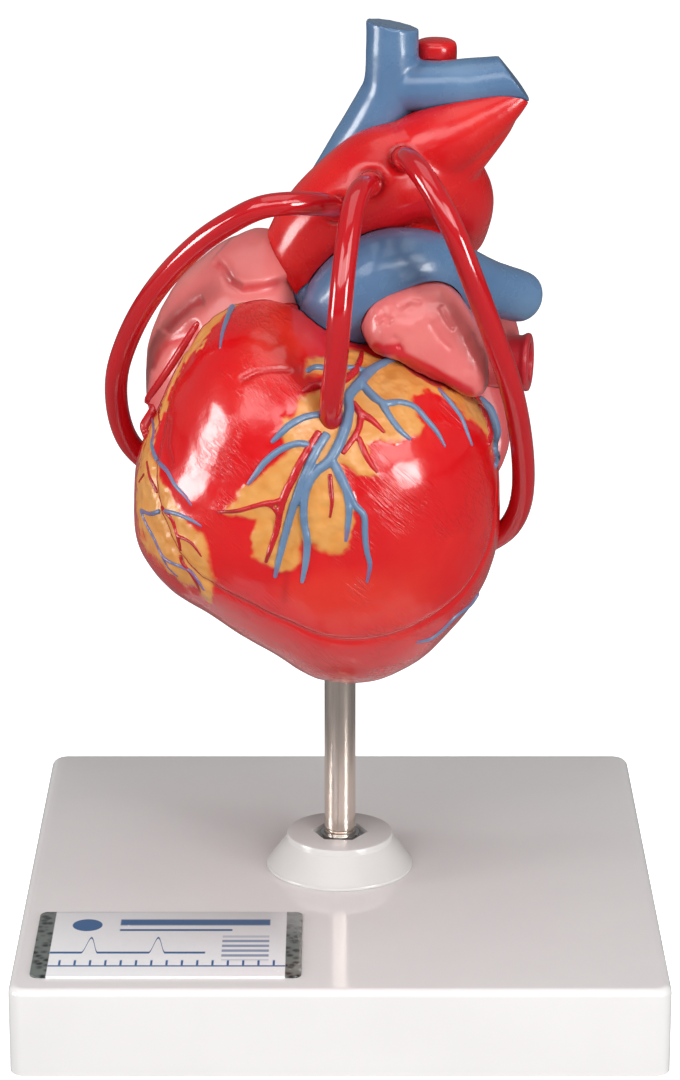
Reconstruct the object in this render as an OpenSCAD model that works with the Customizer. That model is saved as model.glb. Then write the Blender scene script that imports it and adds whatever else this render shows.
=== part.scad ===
// Human heart teaching model with three bypass vessels, on a round steel rod and a square
// plastic stand. Front heart wall pulls off forwards, the heart lifts off the rod and turns
// with it in the hexagonal guide of the stand.
// Origin: middle of the base underside. X to the right, Y to the back, Z up. Millimetres.

/* [Stand] */
// width and depth of the square base
base_w = 120; // [100:1:160]
// height of the base
base_h = 16.9; // [12:0.1:24]
// radius of the upright corners of the base
base_corner = 3.2; // [3:0.2:10]
// how much narrower each side of the base is at its top
base_draft = 0.3; // [0.2:0.1:1.5]
// wall and top thickness of the hollow base
base_wall = 2.8; // [2:0.1:4]
// diameter of the collar around the rod
collar_d = 20.5; // [17:0.5:30]
// diameter of the foot flange of the collar
flange_d = 28.4; // [24:0.2:44]
// height of the collar above the base
collar_h = 6.9; // [5:0.1:12]
// width of the hexagonal guide over its flats
hex_w = 9.3; // [8.5:0.1:12]

/* [Rod] */
// diameter of the support rod
rod_d = 6; // [4.5:0.1:7]
// height of the bare rod between the collar and the heart
rod_show = 30.2; // [15:0.5:80]
// length of rod inside the heart
rod_in = 13; // [8:0.5:15]

/* [Label] */
// length of the label plate on the base
label_w = 49.4; // [30:0.2:60]
// depth of the label plate
label_d = 29.8; // [12:0.2:36]
// thickness of the label plate
label_t = 0.4; // [0.3:0.1:1]

/* [Heart] */
// size of the heart compared with the model in the picture
heart_k = 1; // [0.9:0.01:1.3]
// thickness of the atrium walls
atrium_wall = 2.6; // [2:0.1:4]
// diameter of the bypass vessels
bypass_d = 4.3; // [3.5:0.1:5]
// diameter of the locating pins of the front wall
pin_d = 2.4; // [1.8:0.1:2.8]
// length of each locating pin outside the front wall
pin_out = 4.5; // [3:0.5:6]
// thickness of the coronary vessels compared with the model in the picture
coronary_k = 1; // [0.7:0.05:1.4]

/* [Fits] */
// gap between pieces that seat against each other
gap = 0.3; // [0.25:0.05:0.5]
// radial clearance of the rod and the pins in their bores
run = 0.06; // [0.03:0.01:0.1]

/* [Hidden] */
$fn = 72;
foot = 54; // height of the foot of the heart above the table as measured
collar_z = base_h + collar_h;
heart_z = collar_z + rod_show;
rod_top = heart_z + rod_in;
guide_h = collar_h - 1.6;
guide_z = base_h + 0.8;
guide_turn = -4; // degrees the guide is turned in the picture
socket_d = rod_d + 3.2;
socket_up = 2.6; // the socket starts this far inside the heart
sleeve_d = pin_d + 1.6;
sleeve_in = 0.28 * sleeve_d + 0.1; // the sleeves start behind the sloping seam
clip_z = base_h - base_wall - 4.4;
tube_r = bypass_d / 2;
hg = gap / heart_k; // seating gap in heart units

wall_red = "#e0262c";
atrium_pink = "#de7070";
vein_blue = "#6080a6";
vessel_red = "#c82830";
steel = "#b9b4ae";
stand_white = "#e9e7e6";

// ---------------------------------------------------------------- shape helpers

function unit(v) = v / norm(v);

// smooth value between b and c with neighbours a and d
function smooth4(a, b, c, d, t) =
    0.5 * (2 * b + (c - a) * t + (2 * a - 5 * b + 4 * c - d) * t * t + (3 * b - a - 3 * c + d) * t * t * t);

// smooth curve through the points p with n steps between neighbours
function curve(p, n) = concat(
    [for (i = [0 : len(p) - 2]) for (j = [0 : n - 1])
        smooth4(p[max(i - 1, 0)], p[i], p[i + 1], p[min(i + 2, len(p) - 1)], j / n)],
    [p[len(p) - 1]]);

// radius at an angle from radii spread evenly round a circle
function ring_r(rr, be) = let (n = len(rr), s = be * n / 360, i = floor(s))
    smooth4(rr[(i - 1 + n) % n], rr[i % n], rr[(i + 1) % n], rr[(i + 2) % n], s - i);

// point of a pillow: an outline in the upright plane swelling to the front and the back
function pillow_at(c, rr, front, back, lean, al, be, g) = let (
        q = cos(al),
        r = (ring_r(rr, be) + g) * pow(sin(al), 0.85),
        d = (q > 0 ? front + g : -back - g) * pow(abs(q), 0.95))
    [c[0] + r * cos(be), c[1] - d + lean * r * sin(be), c[2] + r * sin(be)];

function pillow_rings(c, rr, front, back, lean, na, nb, g) =
    [for (i = [1 : na - 1]) [for (j = [0 : nb - 1])
        pillow_at(c, rr, front, back, lean, 180 * i / na, 360 * j / nb, g)]];

// turning frames along a line of points
function frames(c) = let (n = len(c)) [for (
    i = 0, t = unit(c[1] - c[0]), u = unit(cross(t, abs(t[1]) < 0.8 ? [0, 1, 0] : [1, 0, 0]));
    i < n;
    i = i + 1, t = i < n ? unit(c[min(i + 1, n - 1)] - c[max(i - 1, 0)]) : t,
    u = unit(u - (u * t) * t)) [t, u]];

// rings round a line; every row of the path is [x, y, z, radius]
function sweep_rings(p, seg, g) = let (
        c = [for (q = p) [q[0], q[1], q[2]]],
        f = frames(c))
    [for (i = [0 : len(p) - 1]) let (t = f[i][0], u = f[i][1], v = cross(u, t))
        [for (j = [0 : seg - 1]) let (a = 360 * j / seg)
            c[i] + (p[i][3] + g) * (cos(a) * u + sin(a) * v)]];

// closed skin through rings of points with a point at each end
module skin(rings, first, last) {
    n = len(rings);
    m = len(rings[0]);
    points = concat([for (r = rings) each r], [first, last]);
    faces = concat(
        [for (j = [0 : m - 1]) [n * m, (j + 1) % m, j]],
        [for (i = [0 : n - 2]) for (j = [0 : m - 1]) [i * m + j, i * m + (j + 1) % m, (i + 1) * m + j]],
        [for (i = [0 : n - 2]) for (j = [0 : m - 1])
            [(i + 1) * m + j, i * m + (j + 1) % m, (i + 1) * m + (j + 1) % m]],
        [for (j = [0 : m - 1]) [n * m + 1, (n - 1) * m + j, (n - 1) * m + (j + 1) % m]]);
    polyhedron(points, faces);
}

module pillow(c, rr, front, back, lean = 0, na = 24, nb = 40, g = 0) {
    skin(pillow_rings(c, rr, front, back, lean, na, nb, g),
        [c[0], c[1] - front - g, c[2]], [c[0], c[1] + back + g, c[2]]);
}

// vessel through a few points, its ends rounded by the given lengths
module vessel(path, n = 4, seg = 20, g = 0, start = 0, end = 0) {
    p = curve(path, n);
    k = len(p) - 1;
    a = [p[0][0], p[0][1], p[0][2]];
    b = [p[k][0], p[k][1], p[k][2]];
    ta = unit(a - [p[1][0], p[1][1], p[1][2]]);
    tb = unit(b - [p[k - 1][0], p[k - 1][1], p[k - 1][2]]);
    ra = p[0][3] + g;
    rb = p[k][3] + g;
    cap_a = start > 0 ? [for (w = [80, 55, 30]) [for (e = [0 : 3]) e < 3
        ? a[e] + ta[e] * (start + g) * sin(w) : ra * cos(w) - g]] : [];
    cap_b = end > 0 ? [for (w = [30, 55, 80]) [for (e = [0 : 3]) e < 3
        ? b[e] + tb[e] * (end + g) * sin(w) : rb * cos(w) - g]] : [];
    skin(sweep_rings(concat(cap_a, p, cap_b), seg, g),
        a + ta * (start > 0 ? start + g : g), b + tb * (end > 0 ? end + g : g));
}

// everything inside becomes one mesh body
module one_body() {
    resize([0, 0, 0]) union() children();
}

// heart pieces are drawn where they were measured and moved onto the rod
module in_heart() {
    translate([0, 0, heart_z]) scale(heart_k) translate([0, 0, -foot]) children();
}

// round bar from a to b
module bar(a, b, r) {
    d = b - a;
    translate(a) rotate([0, acos(d[2] / norm(d)), atan2(d[1], d[0])]) cylinder(h = norm(d), r = r);
}

// ---------------------------------------------------------------- heart shapes

wall_c = [-4, 0, 92];
wall_outline = [34.2, 34.5, 35.7, 35.4, 33.5, 32.4, 35.4, 40.4, 40.2, 37, 34.7, 34.9,
                34.9, 35.4, 33.6, 31, 30.8, 32.3, 36.3, 38.2, 37.9, 36.5, 35.9, 35.1];
wall_lean = -0.12;
wall_front = 31;
wall_back = 28;

module ventricles(g = 0, na = 24, nb = 44) {
    pillow(wall_c, wall_outline, wall_front, wall_back, wall_lean, na, nb, g);
}

module right_chamber(g = 0) {
    pillow([-20, -4, 97], [11, 11.5, 14, 17.5, 18, 15, 11.6, 10.6, 10.8, 12.5, 15, 17, 17, 15, 12.5, 11.5],
        21, 19, -0.1, 13, 26, g);
}

module left_chamber(g = 0) {
    pillow([9.5, -2, 91], [12, 12.5, 15, 17, 18.5, 17, 14.5, 12, 11, 12, 15, 17, 17, 15.5, 13.5, 12.5],
        21, 18, -0.1, 13, 26, g);
}

// the seam is a plane leaning to the right and upwards, and upright above the groove
seam_at = [0, -26.5, 67.5];
lean_x = 0.2;
lean_z = 0.5;
seam_back = -3;

function seam_y(x, z) = min(seam_back, seam_at[1] + lean_x * x + lean_z * (z - seam_at[2]));

// space of the front wall, its edge moved back by g
module front_space(g = 0) {
    long = sqrt(1 + lean_x * lean_x + lean_z * lean_z);
    intersection() {
        translate([-100, -100 + seam_back + g, 0]) cube([200, 100, 200]);
        translate(seam_at) rotate([-asin(lean_z / long), 0, atan(lean_x)])
            translate([-150, -150 + g, -150]) cube([300, 150, 300]);
    }
}

auricle_c = [18, -7, 125.5];
auricle_outline = [6.8, 6, 5.8, 6.2, 7, 8.4, 9.8, 11.3, 13.3, 14.2, 13, 10.6, 8.8, 8, 7.8, 8.4, 10.3,
                   13.8, 12.4, 8.6];

module auricle_shape(g = 0, na = 14, nb = 26) {
    pillow(auricle_c, auricle_outline, 10, 9, 0, na, nb, g);
}

// room behind the auricle and in front of it as far as y = -front, which the front wall leaves free
module auricle_shadow(g = 0, front = 60) {
    translate([auricle_c[0], 0, auricle_c[2]]) rotate([90, 0, 0])
        translate([0, 0, -60]) linear_extrude(60 + front)
            polygon([for (j = [0 : 35]) let (a = 10 * j, r = ring_r(auricle_outline, a) + g)
                [r * cos(a), r * sin(a)]]);
}

module right_atrium_shape(g = 0, na = 16, nb = 30) {
    pillow([-20, 8, 120], [15, 15.5, 19, 21.6, 20, 17, 15.6, 15.4, 16.3, 18.6, 22, 23, 21, 20, 18, 16],
        15, 17, 0, na, nb, g);
}

module left_atrium_shape(g = 0, na = 14, nb = 26) {
    pillow([14, 21, 116], [20.5, 19.5, 18, 16, 15.5, 16, 17, 18, 18, 19, 20, 19, 18, 18, 19, 20.5],
        14, 14, 0, na, nb, g);
}

arch_path = [[-8.6, 12, 118, 8.2], [-8, 9.4, 128, 8.8], [-5.4, 6.2, 138, 9], [1, 4.2, 146.4, 9.5],
             [9.5, 4.4, 152.6, 9.9], [16, 7.6, 151.8, 9.4], [20, 13.5, 146.2, 8.8], [20, 21, 139, 8]];
branch_path = [[13, 5.8, 155, 8.4], [20, 3.6, 159.8, 6.9], [26, 2.6, 163.4, 5], [30.5, 2, 166.2, 3.4],
               [33.4, 1.6, 168, 1.9]];
stub_path = [[16.8, 11, 154, 4], [17.5, 12, 165, 4], [17.8, 12, 175.8, 3.9]];

module aorta_shape(g = 0, seg = 18, n = 2) {
    vessel(arch_path, n, seg, g, 0, 5);
    vessel(branch_path, n, 16, g, 0, 1);
    vessel(stub_path, 1, 16, g, 0, 1);
}

cava_path = [[9.6, 8, 184, 5], [9.5, 8, 171, 4.9], [8, 9, 164.5, 5.5], [3.4, 11, 156.6, 5.4],
             [-1.6, 13, 148.6, 4.9], [-6.2, 14, 140.8, 4.9], [-9.6, 14, 133, 5.2]];
arm_path = [[9.6, 8.4, 168, 4.4], [14.4, 7, 168.7, 4.8], [20, 5.4, 169.3, 4.6], [26.5, 4.2, 170.2, 4.4],
            [34, 3, 171.2, 4.6], [39, 2.4, 171.8, 4.6]];

module cava_shape(g = 0, seg = 20, n = 2) {
    difference() {
        union() {
            vessel(cava_path, n, seg, g, 0, 0);
            vessel(arm_path, n, 18, g, 3, 0);
        }
        translate([10, 8, 180 + g]) rotate([0, 10, 0]) translate([-20, -20, 0]) cube([40, 40, 20]);
        translate([29.2 + g, 3, 174.8]) rotate([0, -36, 0]) translate([0, -30, -30]) cube(60);
    }
}

trunk_path = [[-1, 7, 117, 7.8], [-0.4, 2, 124, 8.2], [2, -3, 130.6, 8.3], [7.4, -5.6, 136.2, 7.9],
              [14.2, -4.4, 137.4, 7.1], [21, 0, 134.6, 6], [28, 6, 130.8, 5.2], [34, 11, 127.8, 4.9]];

module trunk_shape(g = 0, seg = 22, n = 2) {
    vessel(trunk_path, n, seg, g, 0, 1);
}

vein_stubs = [[[28, 13, 114.8], [36.2, 11.5, 114.8], 5.1], [[24, 26, 105], [31.5, 29, 103], 4.6],
              [[4, 28, 121], [-5, 33, 124], 4.6], [[4, 28, 109], [-5, 33, 107], 4.6]];

module stub_shapes(g = 0) {
    for (s = vein_stubs) bar(s[0], s[1] + g * unit(s[1] - s[0]), s[2] + g, $fn = 28);
}

lower_cava_path = [[-21, 17, 111, 5.4], [-21, 23, 103, 5.4], [-21, 28, 95, 5.2], [-21, 30.5, 86, 5.2]];

// places where the valves sit between atrium and ventricle: middle and direction of flow
tricuspid_at = [-18, 3, 112.5];
mitral_at = [10, 9, 106.5];
valve_lean = -30;

module at_valve(p) {
    translate(p) rotate([valve_lean, 0, 0]) children();
}

// locating pins: place on the seam as [x, z]
pin_spots = [[-17, 122], [-6.5, 81.5], [21.5, 110.5]];

module at_pins() {
    for (s = pin_spots) translate([s[0], seam_y(s[0], s[1]), s[1]]) rotate([-90, 0, 0]) children();
}

// ---------------------------------------------------------------- bypass vessels

left_path = [[-0.4, -1.5, 147.4], [-0.6, -7, 148.6], [-3, -14.5, 151.2], [-9, -18.5, 152.3],
             [-14.4, -19, 151.6], [-19.8, -17, 148.5], [-25.4, -14, 144], [-31.1, -10, 137.6],
             [-36, -5, 130.1], [-39.7, 0, 122.1], [-41.9, 3, 114.6], [-42.1, 7, 106.6],
             [-40.4, 10, 99.8], [-36.6, 12, 95], [-31.5, 12.5, 92.5]];
middle_path = [[5.5, -2, 153.2], [5.5, -7, 153.2], [5.3, -13.5, 154.6], [3.6, -19.5, 154.7],
               [2.1, -24.5, 151.5], [0.9, -29, 144.4], [0, -31.4, 135.8], [-0.7, -30.6, 126.3],
               [-1.5, -28.6, 119], [-1.8, -25, 112.8], [-2, -21, 107.6]];
right_path = [[11.5, -1, 157], [11.7, -7, 158], [12.4, -13, 159.2], [14.2, -18, 158.2],
              [17.2, -21.5, 154.2], [20.6, -23.5, 147.7], [24.2, -23, 138.4], [28.1, -20, 127.4],
              [31.7, -15, 115.7], [33.9, -8, 103.1], [34.3, -2, 92.5], [32.5, 3, 85.2],
              [28.6, 6, 81], [24, 8, 79]];

module bypass(path, g = 0, n = 3, seg = 12) {
    vessel([for (q = path) [q[0], q[1], q[2], tube_r / heart_k]], n, seg, g, 0, 0);
}

// ---------------------------------------------------------------- coronary relief

// point on the front of the ventricles seen at x, z
function front_at(x, z) = let (
        be = atan2(z - wall_c[2], x - wall_c[0]),
        s = norm([x - wall_c[0], z - wall_c[2]]) / ring_r(wall_outline, (be + 360) % 360),
        si = pow(min(s, 0.999), 1 / 0.85))
    [x, wall_c[1] - wall_front * pow(sqrt(1 - si * si), 0.95) + wall_lean * (z - wall_c[2]), z];

// outward direction of the front of the ventricles at x, z
function front_out(x, z) = unit(cross(front_at(x + 0.3, z) - front_at(x - 0.3, z),
    front_at(x, z + 0.3) - front_at(x, z - 0.3)));

// vessel lying on the front wall, flat underneath: rows are [x, z, half width]
module lying(route) {
    lift = 0.12; // clears the flat facets of the wall
    p = curve(route, 2);
    k = len(p) - 1;
    a = [for (q = p) front_at(q[0], q[1])];
    out = [for (q = p) front_out(q[0], q[1])];
    rings = [for (i = [0 : k]) let (
            side = unit(cross(a[min(i + 1, k)] - a[max(i - 1, 0)], out[i])),
            r = p[i][2] * coronary_k)
        [for (w = [0 : 36 : 180]) a[i] + r * cos(w) * side + (lift + 0.9 * r * sin(w)) * out[i]]];
    skin(rings, a[0] + 2 * lift * out[0], a[k] + 2 * lift * out[k]);
}

artery_routes = [
    [[-3.9, 112.6, 0.6], [-5.8, 109.4, 0.8], [-7.7, 105.4, 0.8], [-10, 100.6, 0.75], [-11.1, 96.5, 0.7],
     [-13, 88.7, 0.5]],
    [[-11.6, 100.4, 0.6], [-14.2, 99.8, 0.6], [-18.3, 98.4, 0.55], [-21.8, 97.3, 0.4]],
    [[4.3, 115.3, 0.55], [5.6, 114.2, 0.6], [8, 112, 0.4]],
    [[3.7, 113.2, 0.5], [2.9, 111.4, 0.5], [1.8, 109.4, 0.4]],
    [[4, 111, 0.5], [4.9, 108.5, 0.5], [6.7, 105.9, 0.35]]];
vein_routes = [
    [[9.6, 120.6, 0.8], [6.4, 119.8, 0.95], [2.9, 117.2, 1], [1.5, 114, 1], [0.7, 111, 1],
     [-1.8, 107.8, 0.95], [-4.4, 104.6, 0.85], [-5.6, 100, 0.8], [-5.2, 94.1, 0.7], [-5.7, 89.5, 0.6],
     [-7.1, 83.2, 0.4]],
    [[-4.8, 115.6, 0.6], [-7, 115, 0.7], [-9.9, 113, 0.7], [-11.9, 111.3, 0.45]],
    [[-7.5, 110.1, 0.65], [-9.6, 109.4, 0.7], [-12.8, 107.4, 0.65], [-16.6, 103, 0.4]],
    [[-3, 109.6, 0.5], [-4.7, 107.4, 0.6], [-6.6, 104, 0.6], [-8.1, 99.5, 0.65], [-9.9, 94.5, 0.6],
     [-11.5, 86, 0.45]],
    [[0, 105.4, 0.6], [1.4, 102.5, 0.7], [4.7, 95.6, 0.7], [4.9, 90.5, 0.6], [4.9, 84.6, 0.4]],
    [[6.3, 117, 0.6], [7.8, 116.2, 0.75], [10.9, 115.6, 0.75], [16, 112.4, 0.6], [18.8, 108.1, 0.4]],
    [[17.4, 115.4, 0.6], [20, 113.4, 0.6], [22.6, 109.3, 0.5], [24, 106.6, 0.35]]];

// ---------------------------------------------------------------- stand pieces

// square block with leaning sides, rounded upright corners and a small top bevel
module square_block(w, r, h, draft, bevel) {
    reach = w / 2 - r;
    profile = [[0, 0], [r, 0], [r - draft, h - bevel], [r - draft - bevel, h], [0, h]];
    side = [for (q = profile) [q[0] + reach, q[1]]];
    outline = concat([for (i = [1 : 3]) side[i]], [for (i = [3 : -1 : 1]) [-side[i][0], side[i][1]]]);
    for (a = [0, 90])
        rotate([0, 0, a]) translate([0, reach, 0]) rotate([90, 0, 0])
            linear_extrude(2 * reach) polygon(outline);
    for (x = [-1, 1])
        for (y = [-1, 1])
            translate([x * reach, y * reach, 0]) rotate_extrude() polygon(profile);
}

module base_shell() {
    color(stand_white) difference() {
        union() {
            difference() {
                square_block(base_w, base_corner, base_h, base_draft, 1.2);
                translate([0, 0, -1])
                    square_block(base_w - 2 * base_wall, base_corner - base_wall + 1, base_h - base_wall + 1,
                        base_draft, 0.2);
            }
            translate([0, 0, 6]) cylinder(h = base_h - base_wall - 5.5, d = flange_d);
        }
        translate([0, 0, -1]) cylinder(h = base_h + 2, d = rod_d + 2 * gap + 0.4);
        translate([0, 0, -1]) cylinder(h = base_h - base_wall - 1, d = rod_d + 9.4);
    }
}

module stand_collar() {
    color("#f1f1f1") difference() {
        translate([0, 0, base_h]) rotate_extrude()
            polygon([[0, 0], [flange_d / 2 - 0.3, 0], [flange_d / 2, 0.3], [flange_d / 2, 0.8],
                [collar_d / 2 + 0.1, collar_h - 1.9], [collar_d / 2, collar_h - 1.6],
                [collar_d / 2, collar_h - 0.5], [collar_d / 2 - 0.5, collar_h], [0, collar_h]]);
        translate([0, 0, base_h - 1]) cylinder(h = collar_h + 2, d = rod_d + 2 * gap + 0.4);
        translate([0, 0, guide_z]) rotate([0, 0, guide_turn])
            linear_extrude(collar_h) hexagon(hex_w + 0.1);
    }
}

module hexagon(w) {
    r = w / sqrt(3);
    polygon([for (i = [0 : 5]) [r * cos(60 * i), r * sin(60 * i)]]);
}

module hex_guide() {
    color("#c9c9cc") translate([0, 0, guide_z + 0.02]) difference() {
        union() {
            rotate([0, 0, guide_turn]) linear_extrude(guide_h) hexagon(hex_w);
            cylinder(h = guide_h + 0.7, d = rod_d + 1.5);
        }
        translate([0, 0, -1]) cylinder(h = guide_h + 2, d = rod_d + 2 * run);
    }
}

module washer() {
    color("#c4c2bd") translate([0, 0, base_h - base_wall - 3.1]) difference() {
        cylinder(h = 1, d = rod_d + 8);
        translate([0, 0, -1]) cylinder(h = 3, d = rod_d + 2 * gap + 0.4);
    }
}

module stand_rod() {
    color(steel) difference() {
        union() {
            translate([0, 0, clip_z - 2]) cylinder(h = rod_top - clip_z + 1.4, d = rod_d);
            translate([0, 0, rod_top - 0.6]) cylinder(h = 0.6, d1 = rod_d, d2 = rod_d - 1);
        }
        translate([0, 0, clip_z - 0.05]) ring_cut(rod_d, 1.1, 0.6);
        translate([0, 0, collar_z + 0.6]) ring_cut(rod_d, 0.7, 0.25);
    }
}

// groove of the given height and depth round a bar
module ring_cut(d, h, deep) {
    difference() {
        cylinder(h = h, d = d + 2);
        translate([0, 0, -1]) cylinder(h = h + 2, d = d - 2 * deep);
    }
}

module rod_clip() {
    color("#8f8d8a") translate([0, 0, clip_z]) difference() {
        cylinder(h = 1, d = rod_d + 3.6);
        translate([0, 0, -1]) cylinder(h = 3, d = rod_d - 1.15);
        translate([-rod_d * 0.3, 0, -1]) cube([rod_d * 0.6, rod_d + 4, 3]);
    }
}

module label_plate() {
    color("#f6f6f6") translate([-base_w / 2 + 3.6, -base_w / 2 + 5.5, base_h]) difference() {
        cube([label_w, label_d, label_t]);
        for (x = [0, 1])
            for (y = [0, 1])
                translate([x * label_w, y * label_d, -1]) rotate([0, 0, 45]) cube([2.4, 2.4, 4], center = true);
    }
}

// ---------------------------------------------------------------- heart pieces

module rod_socket() {
    color("#a8a49c") translate([0, 0, heart_z + socket_up]) difference() {
        cylinder(h = rod_in - socket_up + 2, d = socket_d);
        translate([0, 0, -1]) cylinder(h = rod_in - socket_up + gap + 1, d = rod_d + 2 * run);
    }
}

// room for the socket in heart coordinates
module socket_room() {
    translate([0, 0, foot + (socket_up - 0.05) / heart_k])
        cylinder(h = (rod_in - socket_up + 2.1) / heart_k, d = (socket_d + 0.1) / heart_k, $fn = 40);
    translate([0, 0, foot - 5]) cylinder(h = 10, d = (rod_d + 2 * gap) / heart_k, $fn = 40);
}

module chambers() {
    right_chamber();
    left_chamber();
}

module valve_ways() {
    at_valve(tricuspid_at) translate([0, 0, -8]) cylinder(h = 30, d = 14.1, $fn = 40);
    at_valve(mitral_at) translate([0, 0, -8]) cylinder(h = 24, d = 14.1, $fn = 40);
}

module wall_solid() {
    difference() {
        ventricles();
        chambers();
        valve_ways();
    }
}

module rear_wall() {
    color(wall_red) in_heart() one_body() difference() {
        wall_solid();
        difference() {
            front_space();
            auricle_shadow(0, -auricle_c[1]);
        }
        socket_room();
        auricle_shape(hg);
        trunk_shape(hg);
        bypass(left_path, 0.05);
        bypass(right_path, 0.05);
        at_pins() translate([0, 0, -20]) cylinder(h = 28, d = (sleeve_d + 0.1) / heart_k, $fn = 32);
        muscle_rooms();
    }
}

module right_atrium() {
    color(atrium_pink) in_heart() one_body() difference() {
        right_atrium_shape();
        right_atrium_shape(-atrium_wall);
        ventricles(hg);
        valve_ways();
        trunk_shape(hg);
    }
}

module left_atrium() {
    color("#c8595d") in_heart() one_body() difference() {
        left_atrium_shape();
        left_atrium_shape(-atrium_wall);
        ventricles(hg);
        right_atrium_shape(hg);
        valve_ways();
        trunk_shape(hg);
        aorta_shape(hg);
        stub_shapes(0.05);
    }
}

module left_auricle() {
    color(atrium_pink) in_heart() one_body() difference() {
        auricle_shape();
        left_atrium_shape(hg);
    }
}

module pulmonary_veins() {
    color("#c8595d") in_heart() {
        for (s = vein_stubs) stub(s[0], s[1], s[2]);
    }
}

// short pipe from a to b with a thicker rim at its open end
module stub(a, b, r) {
    u = unit(b - a);
    difference() {
        union() {
            bar(a, b, r);
            bar(b - 1.2 * u, b, r + 0.5);
        }
        bar(a + 1 * u, b + u, r - 1.5);
    }
}

module aorta() {
    color(wall_red) in_heart() one_body() difference() {
        aorta_shape();
        ventricles(hg);
        right_atrium_shape(hg);
        trunk_shape(hg);
        cava_shape(hg);
        vessel(arm_path, 2, 18, hg, 3, 0);
        bypass(left_path, 0.05);
        bypass(middle_path, hg);
        bypass(right_path, 0.05);
    }
}

module superior_vena_cava() {
    color(vein_blue) in_heart() one_body() difference() {
        cava_shape();
        right_atrium_shape(hg);
    }
}

module inferior_vena_cava() {
    color(vein_blue) in_heart() one_body() difference() {
        vessel(lower_cava_path, 3, 24, 0, 0, 1);
        ventricles(hg);
        right_atrium_shape(hg);
    }
}

module pulmonary_trunk() {
    color(vein_blue) in_heart() one_body() difference() {
        trunk_shape();
        ventricles(hg);
        auricle_shape(hg);
    }
}

// ring and funnel of a valve with rounded notches between its flaps
module valve(flaps) {
    difference() {
        rotate_extrude() polygon([[6.9, 0], [6.9, 2], [5.9, 2], [5.4, 0.4], [3.2, -6.4], [3.9, -6.6], [6, 0]]);
        for (i = [0 : flaps - 1])
            rotate([0, 0, 360 * i / flaps + 30]) translate([0, 0, -7.4]) rotate([0, 90, 0]) cylinder(h = 12, d = 4.6);
    }
}

module tricuspid_valve() {
    color("#ead9c0") in_heart() at_valve(tricuspid_at) valve(3);
}

module mitral_valve() {
    color("#ead9c0") in_heart() at_valve(mitral_at) valve(2);
}

// papillary muscles: foot on the rear wall, head near its valve
muscles = [[[-23.5, 9, 85], [-21, 3, 96], [-20.5, -0.5, 106.2]], [[-15, 10, 86.5], [-15.8, 4, 96.5], [-15.8, -0.5, 106.2]],
           [[5, 10, 79], [7.5, 6.5, 90], [7.6, 5.8, 99.8]], [[14.5, 10.5, 79], [12.4, 6.5, 90], [12.2, 5.8, 99.8]]];

module muscle(m, g = 0) {
    d = m[1] - m[0];
    translate(m[0]) rotate([0, acos(d[2] / norm(d)), atan2(d[1], d[0])])
        cylinder(h = norm(d) + g, r1 = 2.7 + g, r2 = 1.1 + g);
}

module muscle_rooms() {
    for (m = muscles) muscle(m, 0.05, $fn = 24);
}

module papillary_muscles() {
    color("#c8505a") in_heart() {
        for (m = muscles) {
            muscle(m);
            for (e = [-1.2, 1.2]) bar(m[1] - [0, 0, 0.6], m[2] + [e, 0, 0], 0.3);
        }
    }
}

module pin_sleeves() {
    color("#c9c4b8") in_heart() {
        for (s = pin_spots)
            translate([s[0], seam_y(s[0], s[1]) + sleeve_in, s[1]]) rotate([-90, 0, 0]) difference() {
                cylinder(h = 7.9 - sleeve_in, d = sleeve_d / heart_k);
                translate([0, 0, -1]) cylinder(h = 7.9 - sleeve_in, d = (pin_d + 2 * run) / heart_k);
            }
    }
}

module left_bypass() {
    color(vessel_red) in_heart() bypass(left_path);
}

module right_bypass() {
    color(vessel_red) in_heart() bypass(right_path);
}

module front_wall() {
    color(wall_red) in_heart() one_body() difference() {
        wall_solid();
        difference() {
            translate([-100, -100, 0]) cube([200, 200, 200]);
            front_space(-hg);
        }
        auricle_shadow(hg);
        trunk_shape(hg);
        bypass(middle_path, 0.05);
        at_pins() translate([0, 0, -3.2]) cylinder(h = 6, d = (pin_d + 0.1) / heart_k, $fn = 32);
    }
}

module locating_pins() {
    color(steel) in_heart() {
        for (s = pin_spots)
            translate([s[0], seam_y(s[0], s[1]), s[1]]) rotate([-90, 0, 0])
                translate([0, 0, -3.1]) cylinder(h = 3.1 + pin_out / heart_k, d = pin_d / heart_k);
    }
}

module middle_bypass() {
    color(vessel_red) in_heart() bypass(middle_path);
}

module coronary_arteries() {
    color("#b3202a") in_heart() {
        for (r = artery_routes) lying(r);
    }
}

module cardiac_veins() {
    color(vein_blue) in_heart() {
        for (r = vein_routes) lying(r);
    }
}

// ---------------------------------------------------------------- drawing

base_shell();
stand_collar();
hex_guide();
washer();
stand_rod();
rod_clip();
label_plate();
rod_socket();
rear_wall();
right_atrium();
left_atrium();
left_auricle();
pulmonary_veins();
aorta();
superior_vena_cava();
inferior_vena_cava();
pulmonary_trunk();
tricuspid_valve();
mitral_valve();
papillary_muscles();
pin_sleeves();
left_bypass();
right_bypass();
front_wall();
locating_pins();
middle_bypass();
coronary_arteries();
cardiac_veins();
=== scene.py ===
"""Looks of a human heart teaching model with bypass vessels, on a rod and a square stand.

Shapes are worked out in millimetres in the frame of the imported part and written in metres.
X runs to the right, Y to the back and Z up. The front of the heart faces -Y.
"""

import logging
import math
from dataclasses import dataclass, field
from enum import Enum
from typing import Any, Callable, Sequence

import bpy
import numpy as np
from mathutils import Matrix, Vector
from mathutils.bvhtree import BVHTree
from mathutils.kdtree import KDTree


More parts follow.
